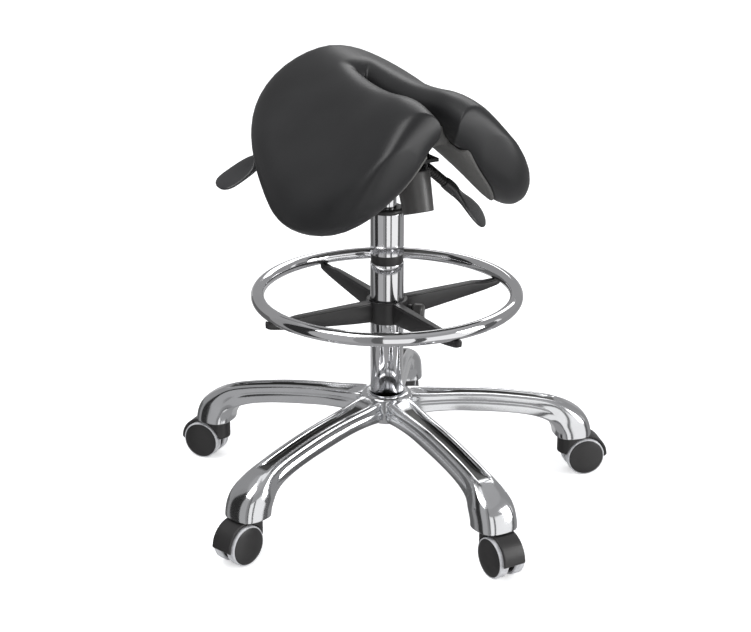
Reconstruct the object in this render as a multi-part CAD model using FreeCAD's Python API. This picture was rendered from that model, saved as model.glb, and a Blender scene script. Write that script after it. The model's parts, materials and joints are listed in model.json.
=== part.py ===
"""Split-saddle clinic stool on a five-star castor base, with foot ring, gas lift and tilting seat.

Units are millimetres. +Z is up and the origin is on the floor, on the column's axis.
The rider faces -Y, so +X is the rider's left.
"""
import FreeCAD, Part
import math
import os

V = FreeCAD.Vector
UP = V(0, 0, 1)

# ---- fits and clearances ----
RUNNING_GAP = 0.05
SLIDING_GAP = 0.08
SOFT_GAP = 0.3
BODY_GAP = 0.5

# ---- star base ----
LEG_COUNT = 5
FIRST_LEG_DEG = -90.0
STEM_CIRCLE_R = 296.5
FOOT_BOTTOM_Z = 67.0
FOOT_R = 28.5
FOOT_EDGE_R = 6.0
HUB_TOP_Z = 165.0
HUB_BOTTOM_Z = 124.0
HUB_TOP_R = 38.0
HUB_BOTTOM_R = 31.0
ARM_ROOT_HALF_WIDTH = 22.0
ARM_WAIST_HALF_WIDTH = 17.5
ARM_DEPTH = 28.0
ARM_DROP_TO_KNEE = 40.0
CHANNEL_HALF_WIDTH = 7.0
CHANNEL_DEPTH = 7.0
CHANNEL_START_R = 74.0
CHANNEL_END_R = 258.0
ARM_WALL = 5.0
UNDER_CHANNEL_DEPTH = 8.0
HUB_CORE_R = 40.0

# ---- column and gas lift ----
COLUMN_R = 25.0
COLUMN_WALL = 2.0
COLUMN_TOP_Z = 450.0
COLUMN_TAPER = 0.7
COLUMN_FLOOR = 6.0
COLUMN_BOSS_R = 13.0
BUSH_LENGTH = 110.0
BUSH_COLLAR = 7.0
BAND_Z = 372.0
BAND_HEIGHT = 13.0
BAND_R = 24.0
CYLINDER_R = 14.0
CYLINDER_WALL = 2.5
CYLINDER_BOTTOM_Z = 192.0
CYLINDER_TOP_Z = 553.0
CYLINDER_TAPER = 0.7
TAPER_LENGTH = 40.0
ROD_R = 5.0
ROD_LENGTH = 300.0
PISTON_HEIGHT = 16.0
BEARING_R = 12.0
BEARING_WASHER = 2.0
BEARING_BALL_R = 2.0
BEARING_BALLS = 8
CLIP_R = 10.0
CLIP_THICKNESS = 2.0
BUTTON_R = 4.0
BUTTON_STAND = 6.0
BUTTON_TRAVEL = 3.6

# ---- castors ----
STEM_R = 5.5
STEM_LENGTH = 38.0
STEM_FLANGE_R = 8.0
STEM_FLANGE = 0.8
STEM_LOWER_R = 5.0
WHEEL_R = 30.0
TREAD_THICKNESS = 3.8
TREAD_WIDTH = 16.5
TRAIL = 21.0
WEB_HALF = 4.0
WHEEL_DOME = 3.0
HOOD_HALF_WIDTH = 17.0
HOOD_GAP = 1.3
HOOD_THICKNESS = 4.2
NECK_R = 20.0
AXLE_R = 4.0

# ---- foot ring ----
RING_R = 193.0
RING_TUBE_R = 10.0
RING_WALL = 1.5
RING_Z = 322.0
SPIDER_HUB_R = 31.0
SPIDER_HUB_HEIGHT = 33.0
SPOKE_COUNT = 4
SPOKE_ROOT_HALF = 8.0
SPOKE_TIP_HALF = 5.5
SPOKE_TIP_DEPTH = 13.0
TAB_BEYOND_RING = 9.5
RING_SCREW_R = 2.5
RING_SCREW_HEAD_R = 4.2
RING_SCREW_HEAD = 3.0
RING_SCREW_SINK = 4.0
KNOB_AZIMUTH_DEG = -43.5
CLAMP_SCREW_R = 4.0
CLAMP_BOSS_R = 9.0
CLAMP_BOSS_LENGTH = 8.0
CLAMP_GRIP_R = 11.0
CLAMP_GRIP_LENGTH = 17.0
CLAMP_WING_DROP = 27.0
CLAMP_WING_HALF = 7.0
CLAMP_WING_THICKNESS = 6.0

# ---- tilt mechanism ----
SEAT_PLATE = 4.0
SEAT_PLATE_FRONT = 100.0
SEAT_PLATE_BACK = 62.0
FLANGE_HALF = 39.0
FLANGE_THICKNESS = 3.0
FLANGE_FRONT = 48.0
FLANGE_BACK = 48.0
CHEEK_HALF = 33.0
CHEEK_THICKNESS = 4.0
HOUSING_FLOOR = 5.0
HOUSING_FRONT = 88.0
HOUSING_BACK = 44.0
FLOOR_BELOW_CYLINDER_TOP = 12.0
HOUSING_FLOOR_Z = CYLINDER_TOP_Z - FLOOR_BELOW_CYLINDER_TOP
TAPER_HUB_R = 22.0
TILT_PIN_FORWARD = 16.0
TILT_PIN_R = 4.5
PIN_RISE = 20.0
TILT_PIN_Z = HOUSING_FLOOR_Z + PIN_RISE
BOARD_RISE = 15.0
BOARD_BOTTOM_Z = TILT_PIN_Z + BOARD_RISE
PIN_HEAD = 3.0
TENSION_LEAN_DEG = 18.0
TENSION_KNOB_FORWARD = 88.0
KNOB_DROP = 71.0
TENSION_KNOB_Z = HOUSING_FLOOR_Z - KNOB_DROP
TENSION_KNOB_LENGTH = 58.0
TENSION_KNOB_BOTTOM_R = 22.3
TENSION_KNOB_TOP_R = 25.3
TENSION_KNOB_WALL = 4.0
TENSION_SCREW_R = 5.0
TENSION_HOLE_R = 9.5
SPRING_R = 13.0
SPRING_WIRE_R = 2.0
SPRING_TURNS = 5.0
SCREW_HEAD = 5.0

# ---- levers ----
LEVER_ROD_R = 4.5
HEIGHT_LEVER_RISE = 5.0
LEVER_PIVOT_OUT = 33.0
LEVER_PIN_R = 1.5
LEVER_EAR = 2.2
LEVER_EAR_R = 4.5
LEVER_HOLE_GAP = 1.0
HEIGHT_LEVER_Z = TILT_PIN_Z + HEIGHT_LEVER_RISE
TILT_LEVER_FORWARD = 30.0
TILT_LEVER_DROP = 19.0
TILT_LEVER_Z = HOUSING_FLOOR_Z - TILT_LEVER_DROP
TILT_LEVER_SLOPE_DEG = 41.0
TILT_LEVER_REACH = 68.0
SLEEVE_R = 7.5
SLEEVE_RIB = 0.9
SLEEVE_LENGTH = 40.0
SLEEVE_RIBS = 9
PADDLE_LENGTH = 86.0
PADDLE_WIDTH = 46.0
PADDLE_TWIST_DEG = 50.0
PADDLE_DROOP_DEG = 5.0
HEIGHT_PADDLE_LENGTH = 72.0
HEIGHT_PADDLE_SLOPE_DEG = 27.0
HEIGHT_PADDLE_TWIST_DEG = 10.0
PADDLE_THICKNESS = 7.0
PADDLE_SOCKET_R = 9.0
PADDLE_SOCKET_LENGTH = 20.0

# ---- seat ----
BOARD_HALF = 34.0
BOARD_HEIGHT = 26.0
BOARD_FRONT = 125.0
BOARD_BACK = 122.0
CUSHION_THICKNESS = 67.0
EDGE_ROUND = 34.0
SLOT_END = -67.0
SLOT_FRONT_HALF = 15.0
BACK_REACH = 198.0
FRONT_REACH = 172.0
SEAT_HALF_WIDTH = 186.0
RIDGE_BACK_RISE = 60.0
RIDGE_MID_RISE = 43.0
RIDGE_FRONT_RISE = 36.0
RIDGE_BACK_DIP = 6.5
BACK_STEEPNESS = 0.91
FRONT_STEEPNESS = 1.30
BACK_FLATNESS = 96.0
FRONT_FLATNESS = 55.0
POMMEL_RISE = 10.5
PANEL_THICKNESS = 3.5
PANEL_INSET = 20.0
PANEL_GAP = 0.9
SEAT_SCREW_R = 3.0
SEAT_SCREW_HEAD_R = 6.0


# ---------------------------------------------------------------- helpers
def seat_point(forward, left, z):
    """A point from the rider's directions: forward, to the left, up."""
    return V(left, -forward, z)


def cylinder(r, start, end):
    axis = end - start
    return Part.makeCylinder(r, axis.Length, start, axis)


def tube(outer, inner, start, end):
    return cylinder(outer, start, end).cut(cylinder(inner, start, end))


def cone(r_low, r_high, z_low, z_high):
    return Part.makeCone(r_low, r_high, z_high - z_low, V(0, 0, z_low), UP)


def seat_box(back, front, right, left, low, high):
    """A box between two forward, two sideways and two upward limits."""
    return Part.makeBox(left - right, front - back, high - low, V(right, -front, low))


def turned(points, origin, axis):
    """Revolve a closed (radius, height) outline about an axis through origin."""
    side = V(1, 0, 0) if abs(axis.x) < 0.9 else V(0, 1, 0)
    out = (side - axis * side.dot(axis)).normalize()
    ring = [origin + out * r + axis * h for r, h in points]
    face = Part.Face(Part.makePolygon(ring + [ring[0]]))
    return face.revolve(origin, axis, 360)


def spun(shape, degrees, centre=V(0, 0, 0), axis=UP):
    copy = shape.copy()
    copy.rotate(centre, axis, degrees)
    return copy


def moved(shape, offset):
    copy = shape.copy()
    copy.translate(offset)
    return copy


def mirrored(shape):
    return shape.mirror(V(0, 0, 0), V(1, 0, 0))


def fused(first, *others):
    return first.multiFuse(list(others)).removeSplitter()


def smooth_edge(points, start=None, end=None):
    curve = Part.BSplineCurve()
    if start and end:
        curve.interpolate(Points=points, InitialTangent=start, FinalTangent=end)
    else:
        curve.interpolate(Points=points)
    return curve.toShape()


def cubic(knots, values):
    """The natural cubic curve through values at knots."""
    n = len(knots)
    gap = [knots[i + 1] - knots[i] for i in range(n - 1)]
    rise = [(values[i + 1] - values[i]) / gap[i] for i in range(n - 1)]
    diag, right = [1.0] * n, [0.0] * n
    for i in range(1, n - 1):
        lower = gap[i - 1] / diag[i - 1] if i > 1 else 0.0
        upper = gap[i - 1] if i > 1 else 0.0
        diag[i] = 2 * (gap[i - 1] + gap[i]) - lower * upper
        right[i] = 6 * (rise[i] - rise[i - 1]) - lower * right[i - 1]
    bend = [0.0] * n
    for i in range(n - 2, 0, -1):
        bend[i] = (right[i] - gap[i] * bend[i + 1]) / diag[i]

    def value(x):
        i = max(k for k in range(n - 1) if k == 0 or knots[k] <= x)
        a, b, h = knots[i + 1] - x, x - knots[i], gap[i]
        straight = (values[i] / h - bend[i] * h / 6) * a + (values[i + 1] / h - bend[i + 1] * h / 6) * b
        return (bend[i] * a ** 3 + bend[i + 1] * b ** 3) / (6 * h) + straight

    return value


def bent_rod(r, path, bend_r):
    """A round rod along straight runs joined by arcs."""
    edges, start = [], path[0]
    for before, corner, after in zip(path, path[1:], path[2:]):
        u, w = (before - corner).normalize(), (after - corner).normalize()
        half = math.acos(u.dot(w)) / 2
        reach = bend_r / math.tan(half)
        middle = (u + w).normalize() * (bend_r / math.sin(half) - bend_r)
        edges.append(Part.LineSegment(start, corner + u * reach).toShape())
        edges.append(Part.Arc(corner + u * reach, corner + middle, corner + w * reach).toShape())
        start = corner + w * reach
    edges.append(Part.LineSegment(start, path[-1]).toShape())
    spine = Part.Wire(edges)
    profile = Part.Wire(Part.makeCircle(r, path[0], path[1] - path[0]))
    return spine.makePipeShell([profile], True, True)


# ---------------------------------------------------------------- star base
def leg_angles():
    return [FIRST_LEG_DEG + 360.0 / LEG_COUNT * i for i in range(LEG_COUNT)]


def arm_top_points():
    """The arm's upper line, as radius and height: it droops to a knee over the foot."""
    low = HUB_TOP_Z - ARM_DROP_TO_KNEE
    run = STEM_CIRCLE_R
    return [
        (0.10 * run, HUB_TOP_Z - 3.0),
        (0.24 * run, HUB_TOP_Z - 7.5),
        (0.44 * run, HUB_TOP_Z - 11.5),
        (0.67 * run, HUB_TOP_Z - 21.5),
        (run - 41.0, low + 6.5),
        (run - 11.0, low - 3.0),
        (run + 0.30 * FOOT_R, low - 13.0),
        (run + 0.80 * FOOT_R, low - 26.0),
        (run + FOOT_R + 1.0, low - 42.0),
    ]


def arm_bottom_points():
    run = STEM_CIRCLE_R
    return [
        (run - FOOT_R, FOOT_BOTTOM_Z),
        (run - FOOT_R - 11.5, FOOT_BOTTOM_Z + 26.5),
        (run - FOOT_R - 35.0, FOOT_BOTTOM_Z + 40.0),
        (0.61 * run, HUB_TOP_Z - 17.0 - ARM_DEPTH),
        (0.38 * run, HUB_TOP_Z - 8.5 - ARM_DEPTH),
        (0.21 * run, HUB_TOP_Z - 6.0 - ARM_DEPTH),
        (0.10 * run, HUB_BOTTOM_Z),
    ]


def radial_slab(top, bottom, half):
    """Extrude the closed outline between two radius-height lines across the arm."""
    top_edge = smooth_edge([V(r, -half, z) for r, z in top])
    bottom_edge = smooth_edge([V(r, -half, z) for r, z in bottom])
    ends = [top_edge.valueAt(top_edge.LastParameter), bottom_edge.valueAt(bottom_edge.FirstParameter)]
    corner = V(ends[0].x, -half, ends[1].z)
    edges = [top_edge, Part.makeLine(ends[0], corner), Part.makeLine(corner, ends[1]), bottom_edge]
    last = bottom_edge.valueAt(bottom_edge.LastParameter)
    edges.append(Part.makeLine(last, V(top[0][0], -half, top[0][1])))
    return Part.Face(Part.Wire(edges)).extrude(V(0, 2 * half, 0))


def arm_plan():
    """The arm seen from above: root, waist, and a round foot about the stem."""
    turn = math.radians(125)
    join = V(STEM_CIRCLE_R + FOOT_R * math.cos(turn), FOOT_R * math.sin(turn), 0)
    leave = V(math.sin(turn), -math.cos(turn), 0)
    side = [
        V(20, ARM_ROOT_HALF_WIDTH + 2, 0),
        V(0.22 * STEM_CIRCLE_R, ARM_ROOT_HALF_WIDTH, 0),
        V(0.50 * STEM_CIRCLE_R, ARM_WAIST_HALF_WIDTH, 0),
        V(0.80 * STEM_CIRCLE_R, ARM_WAIST_HALF_WIDTH + 0.5, 0),
        join,
    ]
    near = [V(p.x, -p.y, 0) for p in side]
    edges = [
        smooth_edge(side, V(1, 0, 0), leave),
        Part.Arc(join, V(STEM_CIRCLE_R + FOOT_R, 0, 0), near[-1]).toShape(),
        smooth_edge(near[::-1], V(-leave.x, leave.y, 0), V(-1, 0, 0)),
        Part.makeLine(near[0], side[0]),
    ]
    return Part.Face(Part.Wire(edges))


def slot_prism(start_r, end_r, half, low, high):
    left = Part.makeCylinder(half, high - low, V(start_r + half, 0, low), UP)
    right = Part.makeCylinder(half, high - low, V(end_r - half, 0, low), UP)
    middle = Part.makeBox(end_r - start_r - 2 * half, 2 * half, high - low, V(start_r + half, -half, low))
    return fused(middle, left, right)


def star_arm():
    plan = moved(arm_plan(), V(0, 0, FOOT_BOTTOM_Z)).extrude(V(0, 0, HUB_TOP_Z - FOOT_BOTTOM_Z))
    arm = plan.common(radial_slab(arm_top_points(), arm_bottom_points(), 2 * FOOT_R))
    top = arm_top_points()
    above = [(r, z - CHANNEL_DEPTH) for r, z in top]
    lid_z = HUB_TOP_Z + ARM_DEPTH
    (inner_r, inner_z), (outer_r, outer_z) = above[0], above[-1]
    air = Part.Face(Part.Wire([
        smooth_edge([V(r, -FOOT_R, z) for r, z in above]),
        Part.makeLine(V(outer_r, -FOOT_R, outer_z), V(outer_r, -FOOT_R, lid_z)),
        Part.makeLine(V(outer_r, -FOOT_R, lid_z), V(inner_r, -FOOT_R, lid_z)),
        Part.makeLine(V(inner_r, -FOOT_R, lid_z), V(inner_r, -FOOT_R, inner_z)),
    ])).extrude(V(0, 2 * FOOT_R, 0))
    low, high = FOOT_BOTTOM_Z, HUB_TOP_Z + ARM_DEPTH
    channel = slot_prism(CHANNEL_START_R, CHANNEL_END_R, CHANNEL_HALF_WIDTH, low, high).common(air)
    under = arm_bottom_points()[1:]
    web = [(r, z + UNDER_CHANNEL_DEPTH) for r, z in under]
    hollow_half = ARM_WAIST_HALF_WIDTH - ARM_WALL
    hollow = slot_prism(CHANNEL_START_R, under[0][0], hollow_half, low, high)
    below = Part.Face(Part.Wire([
        smooth_edge([V(r, -FOOT_R, z) for r, z in web]),
        Part.makeLine(V(web[-1][0], -FOOT_R, web[-1][1]), V(web[-1][0], -FOOT_R, 0)),
        Part.makeLine(V(web[-1][0], -FOOT_R, 0), V(web[0][0], -FOOT_R, 0)),
        Part.makeLine(V(web[0][0], -FOOT_R, 0), V(web[0][0], -FOOT_R, web[0][1])),
    ])).extrude(V(0, 2 * FOOT_R, 0))
    socket_foot = V(STEM_CIRCLE_R, 0, FOOT_BOTTOM_Z)
    socket = Part.makeCylinder(STEM_R + RUNNING_GAP, STEM_LENGTH + BODY_GAP, socket_foot, UP)
    return arm.cut(channel).cut(hollow.common(below)).cut(socket)


def column_r_at(z):
    """The column is straight above the hub and tapers inside it."""
    share = max(0.0, (HUB_TOP_Z - z) / (HUB_TOP_Z - HUB_BOTTOM_Z))
    return COLUMN_R - COLUMN_TAPER * share


def star_base():
    """The casting: a hub with the roots of the arms, and five arms that meet it face to face."""
    arm = star_arm()
    core = cylinder(HUB_CORE_R, V(0, 0, 0), V(0, 0, 2 * HUB_TOP_Z))
    arms = [spun(arm, a) for a in leg_angles()]
    hub = fused(cone(HUB_BOTTOM_R, HUB_TOP_R, HUB_BOTTOM_Z, HUB_TOP_Z), *[a.common(core) for a in arms])
    hub = hub.cut(cone(column_r_at(HUB_BOTTOM_Z), COLUMN_R, HUB_BOTTOM_Z, HUB_TOP_Z))
    return Part.makeCompound([hub] + [a.cut(core) for a in arms])


# ---------------------------------------------------------------- column and lift
def column_tube():
    outer = fused(
        cone(column_r_at(HUB_BOTTOM_Z), COLUMN_R, HUB_BOTTOM_Z, HUB_TOP_Z),
        cylinder(COLUMN_R, V(0, 0, HUB_TOP_Z), V(0, 0, COLUMN_TOP_Z)),
        cylinder(COLUMN_BOSS_R, V(0, 0, HUB_BOTTOM_Z - COLUMN_FLOOR), V(0, 0, HUB_BOTTOM_Z)),
    )
    inside = cylinder(COLUMN_R - COLUMN_WALL, V(0, 0, HUB_BOTTOM_Z + COLUMN_FLOOR), V(0, 0, COLUMN_TOP_Z))
    rod_hole = cylinder(ROD_R + RUNNING_GAP, V(0, 0, HUB_BOTTOM_Z - COLUMN_FLOOR), V(0, 0, COLUMN_TOP_Z))
    band = tube(COLUMN_R + 1, COLUMN_R - COLUMN_WALL, V(0, 0, BAND_Z), V(0, 0, BAND_Z + BAND_HEIGHT))
    return outer.cut(inside).cut(rod_hole).cut(band)


def column_bush():
    """The guide inside the column, with a band that parts the lower and upper tubes, and a top collar."""
    low, top = COLUMN_TOP_Z - BUSH_LENGTH, COLUMN_TOP_Z + BUSH_COLLAR
    bore = CYLINDER_R + SLIDING_GAP
    inner = COLUMN_R - COLUMN_WALL
    band_top = BAND_Z + BAND_HEIGHT
    outline = [(bore, low), (inner, low), (inner, BAND_Z), (BAND_R, BAND_Z), (BAND_R, band_top),
               (inner, band_top), (inner, COLUMN_TOP_Z), (COLUMN_R, COLUMN_TOP_Z),
               (COLUMN_R, top - 2), (COLUMN_R - 2, top), (bore, top)]
    return turned(outline, V(0, 0, 0), UP)


def thrust_bearing():
    low = HUB_BOTTOM_Z + COLUMN_FLOOR
    bore = ROD_R + RUNNING_GAP
    race = low + BEARING_WASHER
    lower = tube(BEARING_R, bore, V(0, 0, low), V(0, 0, race))
    upper_z = race + 2 * BEARING_BALL_R
    upper = tube(BEARING_R, bore, V(0, 0, upper_z), V(0, 0, upper_z + BEARING_WASHER))
    middle_r = (BEARING_R + bore) / 2
    balls = []
    for i in range(BEARING_BALLS):
        a = 2 * math.pi * i / BEARING_BALLS
        balls.append(Part.makeSphere(BEARING_BALL_R, V(middle_r * math.cos(a), middle_r * math.sin(a),
                                                       race + BEARING_BALL_R)))
    return Part.makeCompound([lower, upper] + balls)


def rod_bottom_z():
    return HUB_BOTTOM_Z - COLUMN_FLOOR - CLIP_THICKNESS - 2 * BODY_GAP


def piston_rod():
    low = rod_bottom_z()
    top = low + ROD_LENGTH
    shoulder = HUB_BOTTOM_Z + COLUMN_FLOOR + 2 * BEARING_WASHER + 2 * BEARING_BALL_R + RUNNING_GAP
    shaft = cylinder(ROD_R, V(0, 0, low), V(0, 0, top))
    collar = cylinder(ROD_R + 3, V(0, 0, shoulder), V(0, 0, shoulder + 4))
    piston_r = CYLINDER_R - CYLINDER_WALL - SLIDING_GAP
    piston = cylinder(piston_r, V(0, 0, top), V(0, 0, top + PISTON_HEIGHT))
    return fused(shaft, collar, piston)


def rod_clip():
    top = HUB_BOTTOM_Z - COLUMN_FLOOR - BODY_GAP
    ring = tube(CLIP_R, ROD_R, V(0, 0, top - CLIP_THICKNESS), V(0, 0, top))
    mouth = Part.makeBox(CLIP_R, ROD_R, CLIP_THICKNESS, V(ROD_R * 0.6, -ROD_R / 2, top - CLIP_THICKNESS))
    return ring.cut(mouth)


def taper_low_z():
    return CYLINDER_TOP_Z - TAPER_LENGTH


def gas_cylinder():
    outer = fused(
        cylinder(CYLINDER_R, V(0, 0, CYLINDER_BOTTOM_Z), V(0, 0, taper_low_z())),
        cone(CYLINDER_R, CYLINDER_R - CYLINDER_TAPER, taper_low_z(), CYLINDER_TOP_Z),
    )
    inner_r = CYLINDER_R - CYLINDER_WALL
    end = 3 * CYLINDER_WALL
    chamber = cylinder(inner_r, V(0, 0, CYLINDER_BOTTOM_Z + end), V(0, 0, CYLINDER_TOP_Z - end))
    guide = cylinder(ROD_R + RUNNING_GAP, V(0, 0, CYLINDER_BOTTOM_Z), V(0, 0, CYLINDER_BOTTOM_Z + end))
    button_hole = cylinder(BUTTON_R + RUNNING_GAP, V(0, 0, CYLINDER_TOP_Z - end), V(0, 0, CYLINDER_TOP_Z))
    return outer.cut(chamber).cut(guide).cut(button_hole)


def release_button():
    low = CYLINDER_TOP_Z - 3 * CYLINDER_WALL - BUTTON_TRAVEL
    top = CYLINDER_TOP_Z + BUTTON_STAND
    outline = [(0, low), (BUTTON_R, low), (BUTTON_R, top - 1), (BUTTON_R - 1, top), (0, top)]
    return turned(outline, V(0, 0, 0), UP)


# ---------------------------------------------------------------- castors
def castor_place(shape, degrees):
    """Move a castor piece from its own frame, trailing along +X, to its leg."""
    return spun(moved(shape, V(STEM_CIRCLE_R, 0, 0)), degrees)


def castor_top_z():
    return FOOT_BOTTOM_Z - STEM_FLANGE


def hood_cut_r():
    return WHEEL_R + HOOD_GAP


def wheel_inner_y():
    return WEB_HALF + BODY_GAP


def stem_foot_z():
    """The wheels pass under the stem, which ends above them."""
    return WHEEL_R + math.sqrt(hood_cut_r() ** 2 - (TRAIL - STEM_LOWER_R) ** 2)


def castor_stem():
    upper = cylinder(STEM_R, V(0, 0, FOOT_BOTTOM_Z), V(0, 0, FOOT_BOTTOM_Z + STEM_LENGTH))
    flange = cylinder(STEM_FLANGE_R, V(0, 0, castor_top_z()), V(0, 0, FOOT_BOTTOM_Z))
    lower = cylinder(STEM_LOWER_R, V(0, 0, stem_foot_z() + 1), V(0, 0, castor_top_z()))
    groove_z = FOOT_BOTTOM_Z + STEM_LENGTH * 0.7
    groove = tube(STEM_R + 1, STEM_R - 1, V(0, 0, groove_z), V(0, 0, groove_z + 4))
    return fused(upper, flange, lower).cut(groove)


def castor_hood():
    top = castor_top_z() - RUNNING_GAP
    cut_r, outer_r = hood_cut_r(), hood_cut_r() + HOOD_THICKNESS
    knee_z = WHEEL_R + 15
    toe = math.radians(172)
    toe_x, toe_z = TRAIL + cut_r * math.cos(toe), WHEEL_R + cut_r * math.sin(toe)
    tail = V(TRAIL + outer_r, -HOOD_HALF_WIDTH, WHEEL_R)
    tail_in = V(TRAIL + cut_r + 1, -HOOD_HALF_WIDTH, WHEEL_R - 3)
    crown = V(TRAIL, -HOOD_HALF_WIDTH, WHEEL_R + outer_r)
    mid = V(TRAIL + outer_r * math.cos(0.8), -HOOD_HALF_WIDTH, WHEEL_R + outer_r * math.sin(0.8))
    wall = -HOOD_HALF_WIDTH
    front = [V(0, wall, crown.z), V(-NECK_R, wall, crown.z), V(-NECK_R, wall, knee_z), V(toe_x, wall, toe_z)]
    edges = [
        Part.Arc(tail, mid, crown).toShape(),
        Part.makeLine(crown, front[0]),
        Part.makeLine(front[0], front[1]),
        Part.makeLine(front[1], front[2]),
        Part.makeLine(front[2], front[3]),
        Part.makeLine(front[3], V(TRAIL, wall, WHEEL_R)),
        Part.makeLine(V(TRAIL, wall, WHEEL_R), tail_in),
        Part.makeLine(tail_in, tail),
    ]
    crescent = Part.Face(Part.Wire(edges)).extrude(V(0, 2 * HOOD_HALF_WIDTH, 0))
    neck = cylinder(NECK_R, V(0, 0, WHEEL_R + 6), V(0, 0, top))
    round_front = cylinder(NECK_R, V(0, 0, 0), V(0, 0, top))
    behind = Part.makeBox(TRAIL + 2 * WHEEL_R, 2 * HOOD_HALF_WIDTH, top, V(0, -HOOD_HALF_WIDTH, 0))
    body = fused(crescent.common(fused(round_front, behind)), neck)
    for side in (-1, 1):
        inner, outer = side * (WEB_HALF + 0.1), side * (NECK_R + 2)
        body = body.cut(cylinder(cut_r, V(TRAIL, inner, WHEEL_R), V(TRAIL, outer, WHEEL_R)))
    web = cylinder(3 * AXLE_R, V(TRAIL, -WEB_HALF, WHEEL_R), V(TRAIL, WEB_HALF, WHEEL_R))
    strut_corner = V(-NECK_R * 0.5, -WEB_HALF, WHEEL_R + 2)
    strut = Part.makeBox(TRAIL + NECK_R * 0.5, 2 * WEB_HALF, WHEEL_R - 2, strut_corner)
    body = fused(body, web, strut.common(cylinder(outer_r - 1, V(TRAIL, -WEB_HALF, WHEEL_R),
                                                  V(TRAIL, WEB_HALF, WHEEL_R))))
    stem_hole = cylinder(STEM_LOWER_R + RUNNING_GAP, V(0, 0, stem_foot_z()), V(0, 0, top))
    axle_hole = cylinder(AXLE_R, V(TRAIL, -NECK_R, WHEEL_R), V(TRAIL, NECK_R, WHEEL_R))
    return body.cut(stem_hole).cut(axle_hole)


def wheel_outer_y():
    return wheel_inner_y() + TREAD_WIDTH


def castor_axle():
    reach = wheel_outer_y() - 4
    return cylinder(AXLE_R, V(TRAIL, -reach, WHEEL_R), V(TRAIL, reach, WHEEL_R))


def castor_wheel(side):
    """A hollow plastic wheel with a hub on the axle and a domed face."""
    core_r = WHEEL_R - TREAD_THICKNESS
    bore = AXLE_R + RUNNING_GAP
    inner, outer = wheel_inner_y(), wheel_outer_y()
    depth = outer - 4 + BODY_GAP
    outline = [
        (bore, inner), (bore + 5, inner), (bore + 5, depth - 1), (core_r - 3, depth - 1),
        (core_r - 3, inner + 1), (core_r, inner + 1), (core_r, outer + 0.5),
        (core_r * 0.88, outer + WHEEL_DOME * 0.6), (core_r * 0.5, outer + WHEEL_DOME * 0.93),
        (0, outer + WHEEL_DOME), (0, depth), (bore, depth),
    ]
    return turned(outline, V(TRAIL, 0, WHEEL_R), V(0, side, 0))


def castor_tread(side):
    core_r = WHEEL_R - TREAD_THICKNESS
    inner, outer = wheel_inner_y() + 1, wheel_outer_y()
    outline = [
        (core_r, inner), (WHEEL_R - 1.5, inner), (WHEEL_R, inner + 1.5), (WHEEL_R, outer - 2),
        (WHEEL_R - 0.8, outer - 0.6), (WHEEL_R - 1.8, outer), (core_r, outer),
    ]
    return turned(outline, V(TRAIL, 0, WHEEL_R), V(0, side, 0))


# ---------------------------------------------------------------- foot ring
def around_spokes(shape):
    return [spun(shape, 360.0 / SPOKE_COUNT * i) for i in range(SPOKE_COUNT)]


def ring_outside():
    return Part.makeTorus(RING_R, RING_TUBE_R, V(0, 0, RING_Z), UP)


def foot_ring():
    """A bent round tube with four screw holes on its underside."""
    inside = Part.makeTorus(RING_R, RING_TUBE_R - RING_WALL, V(0, 0, RING_Z), UP)
    hole = cylinder(RING_SCREW_R, V(RING_R, 0, RING_Z - RING_TUBE_R - 1), V(RING_R, 0, RING_Z))
    tube_ring = ring_outside().cut(inside)
    for cutter in around_spokes(hole):
        tube_ring = tube_ring.cut(cutter)
    return tube_ring


def spider_low_z():
    return RING_Z - RING_TUBE_R + 2 - SPIDER_HUB_HEIGHT


def ring_screw_seat_z():
    """Where the sunk screw heads bear, above the spoke end's underside."""
    return spider_low_z() + SPIDER_HUB_HEIGHT - SPOKE_TIP_DEPTH + RING_SCREW_SINK


def clamp_height():
    return spider_low_z() + SPIDER_HUB_HEIGHT / 2


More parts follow.
